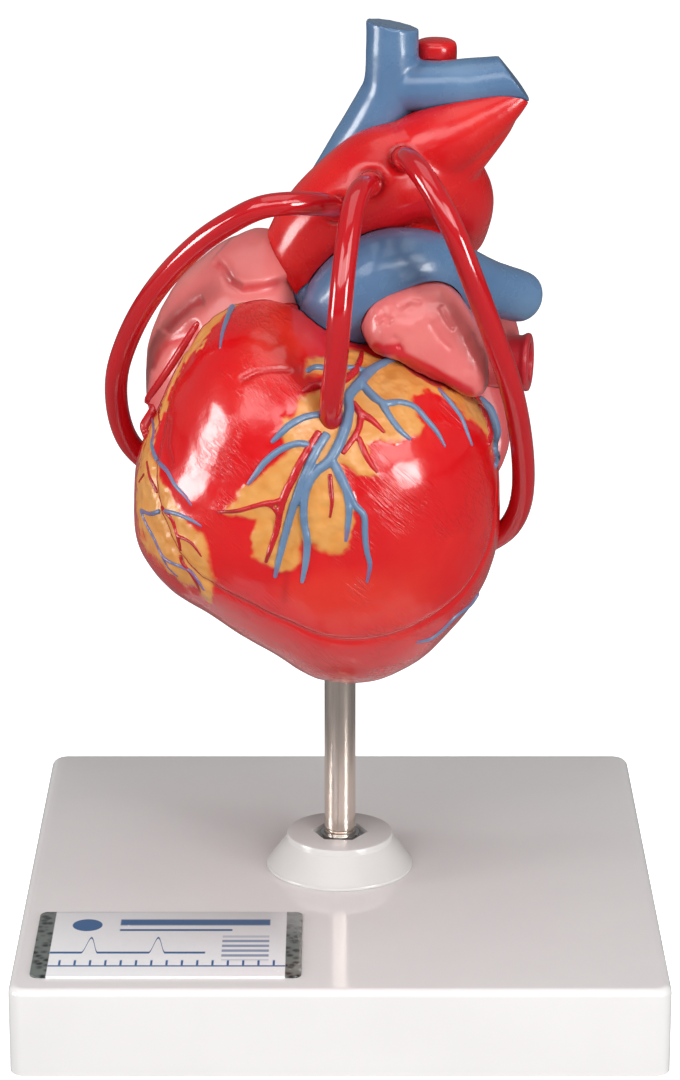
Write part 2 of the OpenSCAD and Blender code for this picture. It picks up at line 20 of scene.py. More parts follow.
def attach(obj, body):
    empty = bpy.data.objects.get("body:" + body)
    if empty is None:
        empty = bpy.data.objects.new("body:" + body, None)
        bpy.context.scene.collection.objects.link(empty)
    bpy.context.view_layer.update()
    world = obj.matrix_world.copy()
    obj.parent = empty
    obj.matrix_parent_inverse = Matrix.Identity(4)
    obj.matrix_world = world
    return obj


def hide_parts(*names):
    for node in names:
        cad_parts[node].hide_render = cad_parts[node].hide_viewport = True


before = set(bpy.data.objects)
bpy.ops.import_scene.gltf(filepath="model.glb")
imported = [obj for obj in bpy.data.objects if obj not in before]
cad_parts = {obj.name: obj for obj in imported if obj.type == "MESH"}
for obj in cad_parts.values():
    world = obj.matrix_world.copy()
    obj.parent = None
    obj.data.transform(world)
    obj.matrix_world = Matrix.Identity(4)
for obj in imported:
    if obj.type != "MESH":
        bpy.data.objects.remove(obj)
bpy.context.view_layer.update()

MM = 0.001
GAP = 0.3
LABEL_LOW = (-56.4, -54.5, 16.9)
LABEL_HIGH = (-7.0, -24.7, 17.3)
KEPT_TOOL = "walls_room"
CAP_ANGLES = tuple(math.radians(degrees) for degrees in (15, 30, 45, 60, 75, 87))
CAP_TIP = 0.02
LOG = logging.getLogger("heart_model")

Points = np.ndarray
Row = Sequence[float]


class Body(str, Enum):
    """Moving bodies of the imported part."""

    STAND = "stand"
    ROD = "rod"
    HEART = "heart"
    FRONT = "front"


# ------------------------------------------------------------------ photograph


@dataclass(frozen=True)
class PhotoView:
    """Camera of the photograph and the way between its pixels and the model."""

    width: int = 680
    height: int = 1080
    place: tuple[float, float, float] = (0.0, -698.9, 305.0)
    pitch: float = 0.30754
    focal: float = 3867.9

    def axes(self) -> tuple[Points, Points, Points]:
        """Returns the right, up and forward directions."""
        s, c = math.sin(self.pitch), math.cos(self.pitch)
        return np.array([1.0, 0, 0]), np.array([0, s, c]), np.array([0, c, -s])

    def to_pixel(self, points: Points) -> Points:
        """Puts points of the model into the picture.

        Args:
            points: Places in millimetres, one row each.

        Returns:
            Pixel columns and rows.
        """
        right, up, forward = self.axes()
        away = points - np.array(self.place)
        depth = away @ forward
        col = self.width / 2 + self.focal * (away @ right) / depth
        row = self.height / 2 - self.focal * (away @ up) / depth
        return np.stack([col, row], axis=1)

    def ray(self, col: float, row: float) -> tuple[Vector, Vector]:
        """Gives the line of sight through a pixel.

        Args:
            col: Pixel column.
            row: Pixel row.

        Returns:
            Its start and direction, in millimetres.
        """
        right, up, forward = self.axes()
        way = forward + right * (col - self.width / 2) / self.focal
        way = way - up * (row - self.height / 2) / self.focal
        return Vector(self.place), Vector(way / np.linalg.norm(way))

    def facing(self, points: Points, normals: Points) -> Points:
        """Tells how much of a surface turns to the camera, from 0 to 1.

        Args:
            points: Places in millimetres, one row each.
            normals: Directions of the surface there.

        Returns:
            One share for each place.
        """
        sight = np.array(self.place) - points
        sight /= np.linalg.norm(sight, axis=1)[:, None]
        return ease(0.0, 0.25, np.sum(sight * normals, axis=1))


VIEW = PhotoView()


# ------------------------------------------------------------------ plain maths


def ease(low: float, high: float, value: Points) -> Points:
    """Smooth step from 0 at low to 1 at high."""
    t = np.clip((value - low) / (high - low), 0, 1)
    return t * t * (3 - 2 * t)


def bell(distance: Points, width: float) -> Points:
    """Bell curve of a distance."""
    return np.exp(-((distance / width) ** 2))


def between(a: Any, b: Any, c: Any, d: Any, t: Any) -> Any:
    """Value of a smooth line on its way t from b to c, where a comes before them and d after."""
    return 0.5 * (2 * b + (c - a) * t + (2 * a - 5 * b + 4 * c - d) * t**2 + (3 * b - a - 3 * c + d) * t**3)


def curve_through(rows: Sequence[Row], steps: int) -> Points:
    """Smooth line through rows of values.

    Args:
        rows: Values to pass through.
        steps: Steps between two rows.

    Returns:
        One row for each point of the line.
    """
    p = np.array(rows, float)
    q = np.vstack([p[:1], p, p[-1:]])
    out = []
    for i in range(len(p) - 1):
        out += [between(*q[i : i + 4], t) for t in np.arange(steps) / steps]
    return np.array(out + [p[-1]])


def route_distance(spots: Points, route: Sequence[Row]) -> tuple[Points, Points]:
    """Distance from spots to a broken line.

    Args:
        spots: Points, one row each.
        route: Corners of the line.

    Returns:
        The distance and how far along the line its nearest point is, from 0 to 1.
    """
    r = np.array(route, float)[:, : spots.shape[1]]
    best = np.full(len(spots), 1e9)
    along = np.zeros(len(spots))
    for i in range(len(r) - 1):
        side = r[i + 1] - r[i]
        t = np.clip((spots - r[i]) @ side / (side @ side), 0, 1)
        d = np.linalg.norm(spots - r[i] - t[:, None] * side, axis=1)
        near = d < best
        best = np.where(near, d, best)
        along = np.where(near, (i + t) / (len(r) - 1), along)
    return best, along


def patch_depth(spots: Points, outline: Sequence[Row]) -> Points:
    """Distance to the edge of a patch, positive inside it.

    Args:
        spots: Points in the plane of the outline.
        outline: Corners of the patch.

    Returns:
        The signed distances.
    """
    ring = list(outline) + [outline[0]]
    depth, _ = route_distance(spots, ring)
    inside = np.zeros(len(spots), bool)
    for (x0, y0), (x1, y1) in zip(ring, ring[1:]):
        if y0 != y1:
            cross = (y0 > spots[:, 1]) != (y1 > spots[:, 1])
            inside ^= cross & (spots[:, 0] < x0 + (spots[:, 1] - y0) * (x1 - x0) / (y1 - y0))
    return np.where(inside, depth, -depth)


class Lumps:
    """Smooth random field that is the same on every run."""

    def __init__(self, seed: int) -> None:
        """Fills the field.

        Args:
            seed: Start of the random numbers.
        """
        self.grid = np.random.default_rng(seed).uniform(-1, 1, (32, 32, 32))

    def at(self, points: Points, size: float) -> Points:
        """Reads the field.

        Args:
            points: Places in millimetres.
            size: Size of the lumps in millimetres.

        Returns:
            Values from -1 to 1.
        """
        q = points / size
        i = np.floor(q).astype(int)
        f = q - i
        f = f * f * (3 - 2 * f)
        total = np.zeros(len(points))
        for corner in np.ndindex(2, 2, 2):
            c = np.array(corner)
            w = np.prod(np.where(c, f, 1 - f), axis=1)
            k = (i + c) % 32
            total += w * self.grid[k[:, 0], k[:, 1], k[:, 2]]
        return total


# ------------------------------------------------------------------ modelling bench


def only(obj: bpy.types.Object) -> bpy.types.Object:
    """Selects one object and nothing else.

    Args:
        obj: Object to select.

    Returns:
        The same object.
    """
    bpy.ops.object.select_all(action="DESELECT")
    obj.select_set(True)
    bpy.context.view_layer.objects.active = obj
    return obj


def fresh(name: str) -> bpy.types.Object:
    """Names the object that an operator has just added.

    Args:
        name: New name of the object and its mesh.

    Returns:
        The object, alone in the selection.
    """
    obj = bpy.context.object
    obj.name = name
    obj.data.name = name
    return only(obj)


def points_of(obj: bpy.types.Object) -> Points:
    """Reads the vertices of a mesh.

    Args:
        obj: Mesh object.

    Returns:
        Places, one row each.
    """
    co = np.empty(len(obj.data.vertices) * 3)
    obj.data.vertices.foreach_get("co", co)
    return co.reshape(-1, 3)


def normals_of(obj: bpy.types.Object) -> Points:
    """Reads the vertex normals of a mesh.

    Args:
        obj: Mesh object.

    Returns:
        Directions, one row each.
    """
    no = np.empty(len(obj.data.vertices) * 3)
    obj.data.vertex_normals.foreach_get("vector", no)
    return no.reshape(-1, 3)


def place_points(obj: bpy.types.Object, points: Points) -> None:
    """Writes the vertices of a mesh."""
    obj.data.vertices.foreach_set("co", np.ascontiguousarray(points, float).ravel())
    obj.data.update()


def apply_modifier(obj: bpy.types.Object, kind: str, **settings: Any) -> bpy.types.Object:
    """Adds a modifier, sets it and applies it.

    Args:
        obj: Mesh object.
        kind: Type of the modifier.
        **settings: Its settings by name.

    Returns:
        The same object.
    """
    only(obj)
    mod = obj.modifiers.new(kind.lower(), kind)
    for key, value in settings.items():
        setattr(mod, key, value)
    bpy.ops.object.modifier_apply(modifier=mod.name)
    return obj


def carve(obj: bpy.types.Object, *tools: bpy.types.Object, how: str = "DIFFERENCE") -> bpy.types.Object:
    """Cuts a mesh with others, which are then removed unless one is the tool that is kept.

    Args:
        obj: Mesh to cut.
        *tools: Closed meshes to cut with.
        how: Boolean operation.

    Returns:
        The cut object.
    """
    for tool in tools:
        apply_modifier(
            obj, "BOOLEAN", operation=how, object=tool, solver="MANIFOLD", material_mode="TRANSFER"
        )
        if tool.name != KEPT_TOOL:
            bpy.data.objects.remove(tool)
    return obj


def ball(name: str, level: int) -> bpy.types.Object:
    """Adds an even ball of radius 1 whose triangles get smaller with the level."""
    bpy.ops.mesh.primitive_ico_sphere_add(subdivisions=level, radius=1)
    return fresh(name)


def block(name: str, low: Row, high: Row, turn: Row = (0, 0, 0), pivot: Row = (0, 0, 0)) -> bpy.types.Object:
    """Adds a box.

    Args:
        name: Name of the object.
        low: Lowest corner before it is turned.
        high: Highest corner before it is turned.
        turn: Turns about X, Y and Z in radians.
        pivot: Place that the box's own origin moves to.

    Returns:
        The box, its place in its mesh.
    """
    bpy.ops.mesh.primitive_cube_add(size=1)
    obj = fresh(name)
    lo, hi = np.array(low, float), np.array(high, float)
    place_points(obj, points_of(obj) * (hi - lo) + (lo + hi) / 2)
    about_x, about_y, about_z = (Matrix.Rotation(angle, 4, axis) for angle, axis in zip(turn, "XYZ"))
    spin = about_z @ about_y @ about_x
    obj.data.transform(Matrix.Translation(pivot) @ spin)
    return obj


def turned_along(start: Vector, end: Vector, place: Vector) -> Matrix:
    """Turn from the Z axis to the way between two places, then a move to a third."""
    return Matrix.Translation(place) @ (end - start).to_track_quat("Z", "Y").to_matrix().to_4x4()


def round_bar(name: str, start: Row, end: Row, radius: float, sides: int = 64) -> bpy.types.Object:
    """Adds a round bar between two places.

    Args:
        name: Name of the object.
        start: Middle of its first end.
        end: Middle of its other end.
        radius: Radius in millimetres.
        sides: Faces round it.

    Returns:
        The bar, its place in its mesh.
    """
    a, b = Vector(start), Vector(end)
    bpy.ops.mesh.primitive_cylinder_add(vertices=sides, radius=radius, depth=(b - a).length)
    obj = fresh(name)
    obj.data.transform(turned_along(a, b, (a + b) / 2))
    return obj


def tube(name: str, rows: Points, sides: int = 32, start: float = 0.0, end: float = 0.0) -> bpy.types.Object:
    """Makes a closed round tube along a line.

    Args:
        name: Name of the object.
        rows: Places and radii along the line, one row each.
        sides: Faces round the tube.
        start: Length by which the first end is rounded.
        end: Length by which the other end is rounded.

    Returns:
        A mesh object.
    """
    rows = np.array(rows, float)
    for length, at, beside in ((start, 0, 1), (end, -1, -2)):
        if length > 0:
            tip, out = rows[at], rows[at][:3] - rows[beside][:3]
            out /= np.linalg.norm(out)
            cap = np.array([
                [*(tip[:3] + out * length * math.sin(angle)), max(tip[3] * math.cos(angle), CAP_TIP)]
                for angle in CAP_ANGLES
            ])
            rows = np.vstack([cap[::-1], rows]) if at == 0 else np.vstack([rows, cap])
    line = bpy.data.curves.new(name, "CURVE")
    line.dimensions = "3D"
    line.bevel_depth = 1.0
    line.bevel_resolution = sides // 4 - 1
    line.use_fill_caps = True
    spline = line.splines.new("POLY")
    spline.points.add(len(rows) - 1)
    for point, (x, y, z, r) in zip(spline.points, rows):
        point.co = (x, y, z, 1)
        point.radius = r
    obj = bpy.data.objects.new(name, line)
    bpy.context.collection.objects.link(obj)
    only(obj)
    bpy.ops.object.convert(target="MESH")
    obj = fresh(name)
    bpy.ops.object.mode_set(mode="EDIT")
    bpy.ops.mesh.select_all(action="SELECT")
    bpy.ops.mesh.remove_doubles(threshold=0.0005)
    bpy.ops.mesh.normals_make_consistent(inside=False)
    bpy.ops.object.mode_set(mode="OBJECT")
    return obj


def join(name: str, parts: Sequence[bpy.types.Object]) -> bpy.types.Object:
    """Joins objects into one mesh without changing their shapes.

    Args:
        name: Name of the result.
        parts: Objects to join.

    Returns:
        The joined object.
    """
    only(parts[0])
    for part in parts:
        part.select_set(True)
    if len(parts) > 1:
        bpy.ops.object.join()
    return fresh(name)


def fuse(name: str, parts: Sequence[bpy.types.Object], grain: float, rounds: int) -> bpy.types.Object:
    """Melts parts into one skin with soft inner corners.

    Args:
        name: Name of the object.
        parts: Closed meshes that overlap.
        grain: Size of the new faces in millimetres.
        rounds: Rounds of smoothing.

    Returns:
        The skin.
    """
    obj = join(name, parts)
    apply_modifier(obj, "REMESH", mode="VOXEL", voxel_size=grain)
    if rounds:
        apply_modifier(obj, "SMOOTH", factor=0.5, iterations=rounds)
    return obj


def lathe(name: str, profile: Sequence[Row], sides: int = 96) -> bpy.types.Object:
    """Turns a profile about the Z axis.

    Args:
        name: Name of the object.
        profile: Radii and heights, closed on itself.
        sides: Steps round the axis.

    Returns:
        A closed mesh.
    """
    bpy.ops.mesh.primitive_circle_add(vertices=len(profile), radius=1)
    obj = fresh(name)
    place_points(obj, np.array([[r, 0, z] for r, z in profile]))
    bpy.ops.object.mode_set(mode="EDIT")
    bpy.ops.mesh.select_all(action="SELECT")
    bpy.ops.mesh.spin(steps=sides, angle=2 * math.pi, center=(0, 0, 0), axis=(0, 0, 1))
    bpy.ops.mesh.select_all(action="SELECT")
    bpy.ops.mesh.remove_doubles(threshold=0.001)
    bpy.ops.mesh.normals_make_consistent(inside=False)
    bpy.ops.object.mode_set(mode="OBJECT")
    return obj


def round_edges(obj: bpy.types.Object, picked: Callable[[Vector, Vector], bool], **settings: Any) -> None:
    """Bevels some edges of a mesh.

    Args:
        obj: Mesh object.
        picked: Tells from both ends of an edge whether it is bevelled.
        **settings: Settings of the bevel.
    """
    layers = obj.data.attributes
    weights = layers.get("bevel_weight_edge") or layers.new("bevel_weight_edge", "FLOAT", "EDGE")
    for edge in obj.data.edges:
        a, b = (obj.data.vertices[v].co for v in edge.vertices)
        weights.data[edge.index].value = float(picked(a, b))
    apply_modifier(obj, "BEVEL", limit_method="WEIGHT", **settings)


def rises(a: Vector, b: Vector) -> bool:
    """Tells whether an edge between two places rises."""
    return abs(a.z - b.z) > 0.1


def tint(obj: bpy.types.Object, **masks: Points) -> None:
    """Stores masks on the vertices for the paint to read.

    Args:
        obj: Mesh object.
        **masks: One value for each vertex, by the name that the paint asks for.
    """
    for name, values in masks.items():
        layer = obj.data.attributes.new(name, "FLOAT", "POINT")
        layer.data.foreach_set("value", np.clip(values, 0, 1).astype(np.float32))


# ------------------------------------------------------------------ shader bench


class Sock:
    """Value of a socket, with plain arithmetic."""

    def __init__(self, bench: "PaintBench", socket: bpy.types.NodeSocket) -> None:
        """Wraps a socket of a bench."""
        self.bench = bench
        self.socket = socket

    def _math(self, operation: str, *values: Any) -> "Sock":
        """Adds a Math node."""
        inputs = dict(enumerate(values))
        return self.bench.node("ShaderNodeMath", inputs, operation=operation)

    def __add__(self, other: Any) -> "Sock":
        """Adds."""
        return self._math("ADD", self, other)

    __radd__ = __add__

    def __sub__(self, other: Any) -> "Sock":
        """Subtracts."""
        return self._math("SUBTRACT", self, other)

    def __rsub__(self, other: Any) -> "Sock":
        """Subtracts from a number."""
        return self._math("SUBTRACT", other, self)

    def __mul__(self, other: Any) -> "Sock":
        """Multiplies."""
        return self._math("MULTIPLY", self, other)

    __rmul__ = __mul__

    def ramp(self, low: float, high: float) -> "Sock":
        """Smooth step from 0 at low to 1 at high.

        Args:
            low: Value that gives 0.
            high: Value that gives 1.

        Returns:
            The stepped value.
        """
        settings = {"interpolation_type": "SMOOTHSTEP", "clamp": True}
        inputs = {"Value": self, "From Min": low, "From Max": high}
        return self.bench.node("ShaderNodeMapRange", inputs, **settings)

    def top(self, other: Any) -> "Sock":
        """Takes the larger of two values."""
        return self._math("MAXIMUM", self, other)


class PaintBench:
    """Node tree of one material and the ways to fill it."""

    def __init__(self, name: str) -> None:
        """Makes an empty material.

        Args:
            name: Name of the material.
        """
        self.material = bpy.data.materials.new(name)
        self.material.use_nodes = True
        self.tree = self.material.node_tree
        self.tree.nodes.clear()
        self.place = self.raw("ShaderNodeTexCoord", {}).outputs["Object"]

    def raw(self, kind: str, inputs: dict[Any, Any], **settings: Any) -> bpy.types.Node:
        """Adds a node.

        Args:
            kind: Type of the node.
            inputs: Values or sockets by the name or number of the input.
            **settings: Settings of the node, which are set first.

        Returns:
            The node.
        """
        node = self.tree.nodes.new(kind)
        for key, value in settings.items():
            setattr(node, key, value)
        for key, value in inputs.items():
            socket = node.inputs[key]
            if isinstance(value, Sock):
                value = value.socket
            if isinstance(value, bpy.types.NodeSocket):
                self.tree.links.new(value, socket)
            else:
                socket.default_value = value
        return node

    def node(self, kind: str, inputs: dict[Any, Any], out: Any = 0, **settings: Any) -> Sock:
        """Adds a node and wraps one of its outputs."""
        return Sock(self, self.raw(kind, inputs, **settings).outputs[out])

    def mask(self, name: str) -> Sock:
        """Reads a mask that is stored on the mesh."""
        return self.node("ShaderNodeAttribute", {}, "Fac", attribute_name=name)

    def stretched(self, sizes: Row, turn: Row = (0, 0, 0)) -> Sock:
        """Gives the place on the piece in turned axes, counted in sizes in metres."""
        inputs = {"Vector": self.place, "Scale": sizes, "Rotation": turn}
        return self.node("ShaderNodeMapping", inputs, vector_type="TEXTURE")

    def grain(self, per_metre: float, detail: float = 3.0, place: Any = None) -> Sock:
        """Cloudy noise.

        Args:
            per_metre: Lumps in a metre.
            detail: Finer steps in the noise.
            place: Vector to read instead of the place on the piece.

        Returns:
            Values from 0 to 1.
        """
        inputs = {"Vector": place or self.place, "Scale": per_metre, "Detail": detail}
        return self.node("ShaderNodeTexNoise", inputs, "Fac")

    def blend(self, amount: Any, first: Any, second: Any) -> Sock:
        """Mixes two colours."""
        first, second = ((*c, 1.0) if isinstance(c, tuple) else c for c in (first, second))
        return self.node("ShaderNodeMix", {0: amount, 6: first, 7: second}, 2, data_type="RGBA")

    def bump(self, height: Sock, depth: float, strength: float = 1.0, before: Any = None) -> Sock:
        """Turns a height into a normal.

        Args:
            height: Height from 0 to 1.
            depth: What a height of 1 stands for, in metres.
            strength: Strength of the bump.
            before: Normal of another bump.

        Returns:
            The normal.
        """
        inputs = {"Height": height, "Distance": depth, "Strength": strength}
        if before is not None:
            inputs["Normal"] = before
        return self.node("ShaderNodeBump", inputs)

    def close(self, **inputs: Any) -> bpy.types.Material:
        """Ends the tree with a Principled shader.

        Args:
            **inputs: Its inputs, with _ for each space.

        Returns:
            The finished material.
        """
        named = {key.replace("_", " "): value for key, value in inputs.items()}
        named = {k: (*v, 1.0) if isinstance(v, tuple) and len(v) == 3 else v for k, v in named.items()}
        shader = self.raw("ShaderNodeBsdfPrincipled", named)
        self.raw("ShaderNodeOutputMaterial", {"Surface": shader.outputs[0]})
        return self.material


Colour = tuple[float, float, float]


@dataclass(frozen=True)
class Finish:
    """What all finishes have."""

    name: str

    def make(self) -> bpy.types.Material:
        """Builds the material once and gives it again after that."""
        name = self.name + "_finish"
        return bpy.data.materials.get(name) or self.paint(PaintBench(name))

    def paint(self, bench: PaintBench) -> bpy.types.Material:
        """Fills the node tree."""
        raise NotImplementedError


@dataclass(frozen=True)
class HeartPaint(Finish):
    """Glossy red muscle with fine fibres, yellow fat where the mask says, a painted highlight in warm red and
    painted shade in dark red.
    """

    red: Colour = (0.64, 0.004, 0.007)
    # The warm red is a random warmer tone, and also a painted highlight where its mask says.
    warm: Colour = (0.70, 0.026, 0.014)
    # The dark red is painted shade in the creases and the middle groove, and the dark line along the seam.
    dark: Colour = (0.42, 0.004, 0.008)
    fat: Colour = (0.66, 0.265, 0.055)
    pale_fat: Colour = (0.70, 0.32, 0.085)

    def paint(self, bench: PaintBench) -> bpy.types.Material:
        """Fills the node tree.

        Args:
            bench: Empty material.

        Returns:
            The finished material.
        """
        cloud = bench.grain(60, 4)
        fine = bench.grain(900, 3)
        fat = (bench.mask("fat") + (fine - 0.5) * 0.2).ramp(0.15, 0.85)
        # Painted highlight: the mask lays the warm red on two spots.
        red = bench.blend((cloud + bench.mask("warm") * 0.55).ramp(0.45, 0.95), self.red, self.warm)
        # Painted shade: the dark mask lays the dark red in the creases and the middle groove, and along the
        # seam.
        red = bench.blend(bench.mask("dark").ramp(0.0, 1.0), red, self.dark)
        cells = {"Vector": bench.place, "Scale": 420, "Smoothness": 0.7}
        lobes = bench.node("ShaderNodeTexVoronoi", cells, "Distance", feature="SMOOTH_F1")
        yellow = bench.blend(lobes.ramp(0.2, 0.8), self.pale_fat, self.fat)
        colour = bench.blend(fat, red, yellow)
        fibres = bench.grain(1, 4, bench.stretched((0.0005, 0.0011, 0.0045), (0.1, -0.78, 0.0)))
        fibres = fibres.ramp(0.42, 0.66) * bench.grain(90, 2).ramp(0.45, 0.65)
        height = (1 - fat) * fibres * 0.5 + fat * (1 - lobes) * 0.45 + fine * 0.16
        return bench.close(
            Base_Color=colour,
            Roughness=cloud * 0.14 + fine * 0.05 + fat * 0.16 + 0.11,
            Coat_Weight=0.45 - fat * 0.35,
            Coat_Roughness=0.12,
            Specular_IOR_Level=0.5,
            Normal=bench.bump(height, 0.0003, 0.8),
        )


@dataclass(frozen=True)
class SoftPaint(Finish):
    """Glossy paint in one hue with a second hue where the crease mask says; on the aorta and the upper hollow
    vein that second hue is painted shade.
    """

    base: Colour
    crease: Colour
    light: Colour
    gloss: float = 0.24
    grain_size: float = 500.0
    bump_depth: float = 0.00012

    def paint(self, bench: PaintBench) -> bpy.types.Material:
        """Fills the node tree.

        Args:
            bench: Empty material.

        Returns:
            The finished material.
        """
        cloud = bench.grain(70, 4)
        fine = bench.grain(self.grain_size, 4)
        colour = bench.blend(cloud.ramp(0.4, 0.8), self.base, self.light)
        colour = bench.blend((bench.mask("crease") + (fine - 0.5) * 0.3).ramp(0.2, 0.8), colour, self.crease)
        return bench.close(
            Base_Color=colour,
            Roughness=cloud * 0.14 + fine * 0.08 + (self.gloss - 0.08),
            Coat_Weight=0.25,
            Coat_Roughness=0.15,
            Normal=bench.bump(fine * 0.6 + bench.grain(140, 3), self.bump_depth, 0.5),
        )


@dataclass(frozen=True)
class SmoothPlastic(Finish):
    """Moulded plastic with a faint grain."""

    base: Colour
    shade: Colour
    roughness: float = 0.2
    coat: float = 0.0
    bump_depth: float = 0.00003

    def paint(self, bench: PaintBench) -> bpy.types.Material:
        """Fills the node tree.

        Args:
            bench: Empty material.

        Returns:
            The finished material.
        """
        cloud = bench.grain(45, 3)
        fine = bench.grain(1400, 2)
        return bench.close(
            Base_Color=bench.blend(cloud.ramp(0.35, 0.75), self.base, self.shade),
            Roughness=fine * 0.06 + cloud * 0.05 + (self.roughness - 0.05),
            Coat_Weight=self.coat,
            Coat_Roughness=0.05,
            Normal=bench.bump(fine + cloud, self.bump_depth, 0.4),
        )


@dataclass(frozen=True)
class TurnedSteel(Finish):
    """Metal with fine turning lines along or round the Z axis."""

    base: Colour
    roughness: float = 0.2
    lines: Row = (0.0011, 0.0011, 0.03)

    def paint(self, bench: PaintBench) -> bpy.types.Material:
        """Fills the node tree.

        Args:
            bench: Empty material.

        Returns:
            The finished material.
        """
        lines = bench.grain(1, 4, bench.stretched(self.lines))
        cloud = bench.grain(200, 3)
        dark = tuple(c * 0.82 for c in self.base)
        return bench.close(
            Base_Color=bench.blend(lines.ramp(0.3, 0.8), self.base, dark),
            Metallic=1.0,
            Roughness=lines * 0.14 + cloud * 0.06 + (self.roughness - 0.08),
            Normal=bench.bump(lines, 0.00002, 0.35),
        )


@dataclass(frozen=True)
class LabelPrint(Finish):
    """Plain white label with dark ends, a rule with ticks, a pulse line, a disc and plain bars, without
    words.
    """

    ink: Colour = (0.035, 0.12, 0.30)

    def band(self, value: Sock, at: float, half: float) -> Sock:
        """Marks where a value is near another, with a soft edge."""
        near = value.bench.node("ShaderNodeMath", {0: value - at}, operation="ABSOLUTE")
        return 1 - near.ramp(half * 0.7, half * 1.3)

    def paint(self, bench: PaintBench) -> bpy.types.Material:
        """Fills the node tree.

        Args:
            bench: Empty material.

        Returns:
            The finished material.
        """
        parts = bench.raw("ShaderNodeSeparateXYZ", {"Vector": bench.place})
        x, y = Sock(bench, parts.outputs[0]), Sock(bench, parts.outputs[1])
        mid_x, mid_y, _ = (MM * (low + high) / 2 for low, high in zip(LABEL_LOW, LABEL_HIGH))
        half_x = MM * (LABEL_HIGH[0] - LABEL_LOW[0]) / 2
        u, v = x - mid_x, y - mid_y
        ends = bench.node("ShaderNodeMath", {0: u}, operation="ABSOLUTE")
        ends = ends.ramp(half_x - 0.0031, half_x - 0.0029)
        weave = bench.node("ShaderNodeTexVoronoi", {"Vector": bench.place, "Scale": 620.0}, "Distance")
        strip = bench.blend(weave.ramp(0.1, 0.7), (0.012, 0.015, 0.015), (0.15, 0.17, 0.16))
        rule = self.band(v, -0.0102, 0.0003)
        tick = bench.node("ShaderNodeMath", {0: u, 1: 0.0014}, operation="PINGPONG").ramp(0.00016, 0.00026)
        ticks = (1 - tick) * self.band(v, -0.0088, 0.0012)
        beat = bench.node("ShaderNodeMath", {0: u + 0.002, 1: 0.0062}, operation="PINGPONG")
        spike = (1 - beat.ramp(0.0, 0.0015)) * 0.0068
        pulse = self.band(v - spike, -0.0042, 0.00045) * (1 - u.ramp(0.0068, 0.007))
        spot = (mid_x - 0.0155, mid_y + 0.0085, LABEL_HIGH[2] * MM)
        disc = bench.node("ShaderNodeVectorMath", {0: bench.place, 1: spot}, "Value", operation="DISTANCE")
        disc = 1 - disc.ramp(0.0027, 0.0029)
        begun = u.ramp(-0.0095, -0.0092)
        heading = self.band(v, 0.0098, 0.0014) * begun * (1 - u.ramp(0.0185, 0.0188))
        subline = self.band(v, 0.0062, 0.00045) * begun * (1 - u.ramp(0.0115, 0.0118))
        bars = bench.node("ShaderNodeMath", {0: v, 1: 0.0011}, operation="PINGPONG").ramp(0.0005, 0.0006)
        bars = bars * u.ramp(0.0098, 0.01) * (1 - u.ramp(0.0185, 0.0187)) * self.band(v, -0.002, 0.0052)
        marks = rule.top(ticks).top(pulse).top(disc).top(heading).top(subline).top(bars * 0.7) * (1 - ends)
        faint = bench.grain(900, 2).ramp(0.5, 0.9) * 0.25
        paper = bench.blend(faint, (0.86, 0.865, 0.88), (0.72, 0.78, 0.86))
        colour = bench.blend(marks, bench.blend(ends, paper, strip), self.ink)
        return bench.close(Base_Color=colour, Roughness=bench.grain(300, 2) * 0.1 + 0.2, Coat_Weight=0.3)


HEART_RED = HeartPaint("heart_red")
# The aorta's second hue is painted shade in the recesses round the bypass holes.
VESSEL_WALL = SoftPaint("aorta_red", (0.62, 0.005, 0.008), (0.30, 0.003, 0.006), (0.70, 0.022, 0.014))
PINK = SoftPaint(
    "atrium_pink", (0.70, 0.155, 0.15), (0.60, 0.02, 0.03), (0.76, 0.21, 0.19), 0.28, 500, 0.0002,
)
DEEP_PINK = SoftPaint("atrium_deep_pink", (0.56, 0.095, 0.10), (0.52, 0.02, 0.03), (0.64, 0.13, 0.13), 0.28)
# The blue's second hue is painted shade in the corner where the arm leaves the upper hollow vein.
BLUE = SoftPaint("vein_blue", (0.085, 0.17, 0.31), (0.04, 0.08, 0.16), (0.125, 0.225, 0.37), 0.24)
CORONARY_BLUE = SoftPaint("coronary_blue", (0.12, 0.205, 0.34), (0.19, 0.11, 0.25), (0.16, 0.25, 0.38), 0.3)
CORONARY_RED = SoftPaint(
    "coronary_red", (0.50, 0.008, 0.014), (0.35, 0.006, 0.012), (0.60, 0.02, 0.02), 0.25,
)
BYPASS_RED = SmoothPlastic("bypass_red", (0.47, 0.005, 0.010), (0.52, 0.008, 0.013), 0.1, 0.5, 0.00001)
CUT_RED = SoftPaint("cut_wall", (0.55, 0.035, 0.035), (0.35, 0.02, 0.02), (0.62, 0.06, 0.05), 0.4)
CHAMBER = SoftPaint(
    "chamber_lining", (0.50, 0.07, 0.07), (0.35, 0.02, 0.02), (0.62, 0.13, 0.11), 0.36, 260, 0.0006,
)
VALVE = SoftPaint("valve_ivory", (0.72, 0.58, 0.40), (0.55, 0.32, 0.22), (0.80, 0.70, 0.54), 0.36)
MUSCLE = SoftPaint("muscle_red", (0.50, 0.08, 0.08), (0.35, 0.03, 0.03), (0.60, 0.16, 0.13), 0.36)
STAND_WHITE = SmoothPlastic("stand_white", (0.80, 0.778, 0.776), (0.78, 0.758, 0.756), 0.09, 0.0, 0.000015)
COLLAR_WHITE = SmoothPlastic("collar_white", (0.62, 0.605, 0.595), (0.59, 0.575, 0.565), 0.2)
SLEEVE_GREY = SmoothPlastic("sleeve_grey", (0.62, 0.60, 0.55), (0.55, 0.53, 0.48), 0.35)
ROD_STEEL = TurnedSteel("rod_steel", (0.81, 0.70, 0.62), 0.2, (0.0007, 0.0007, 0.025))
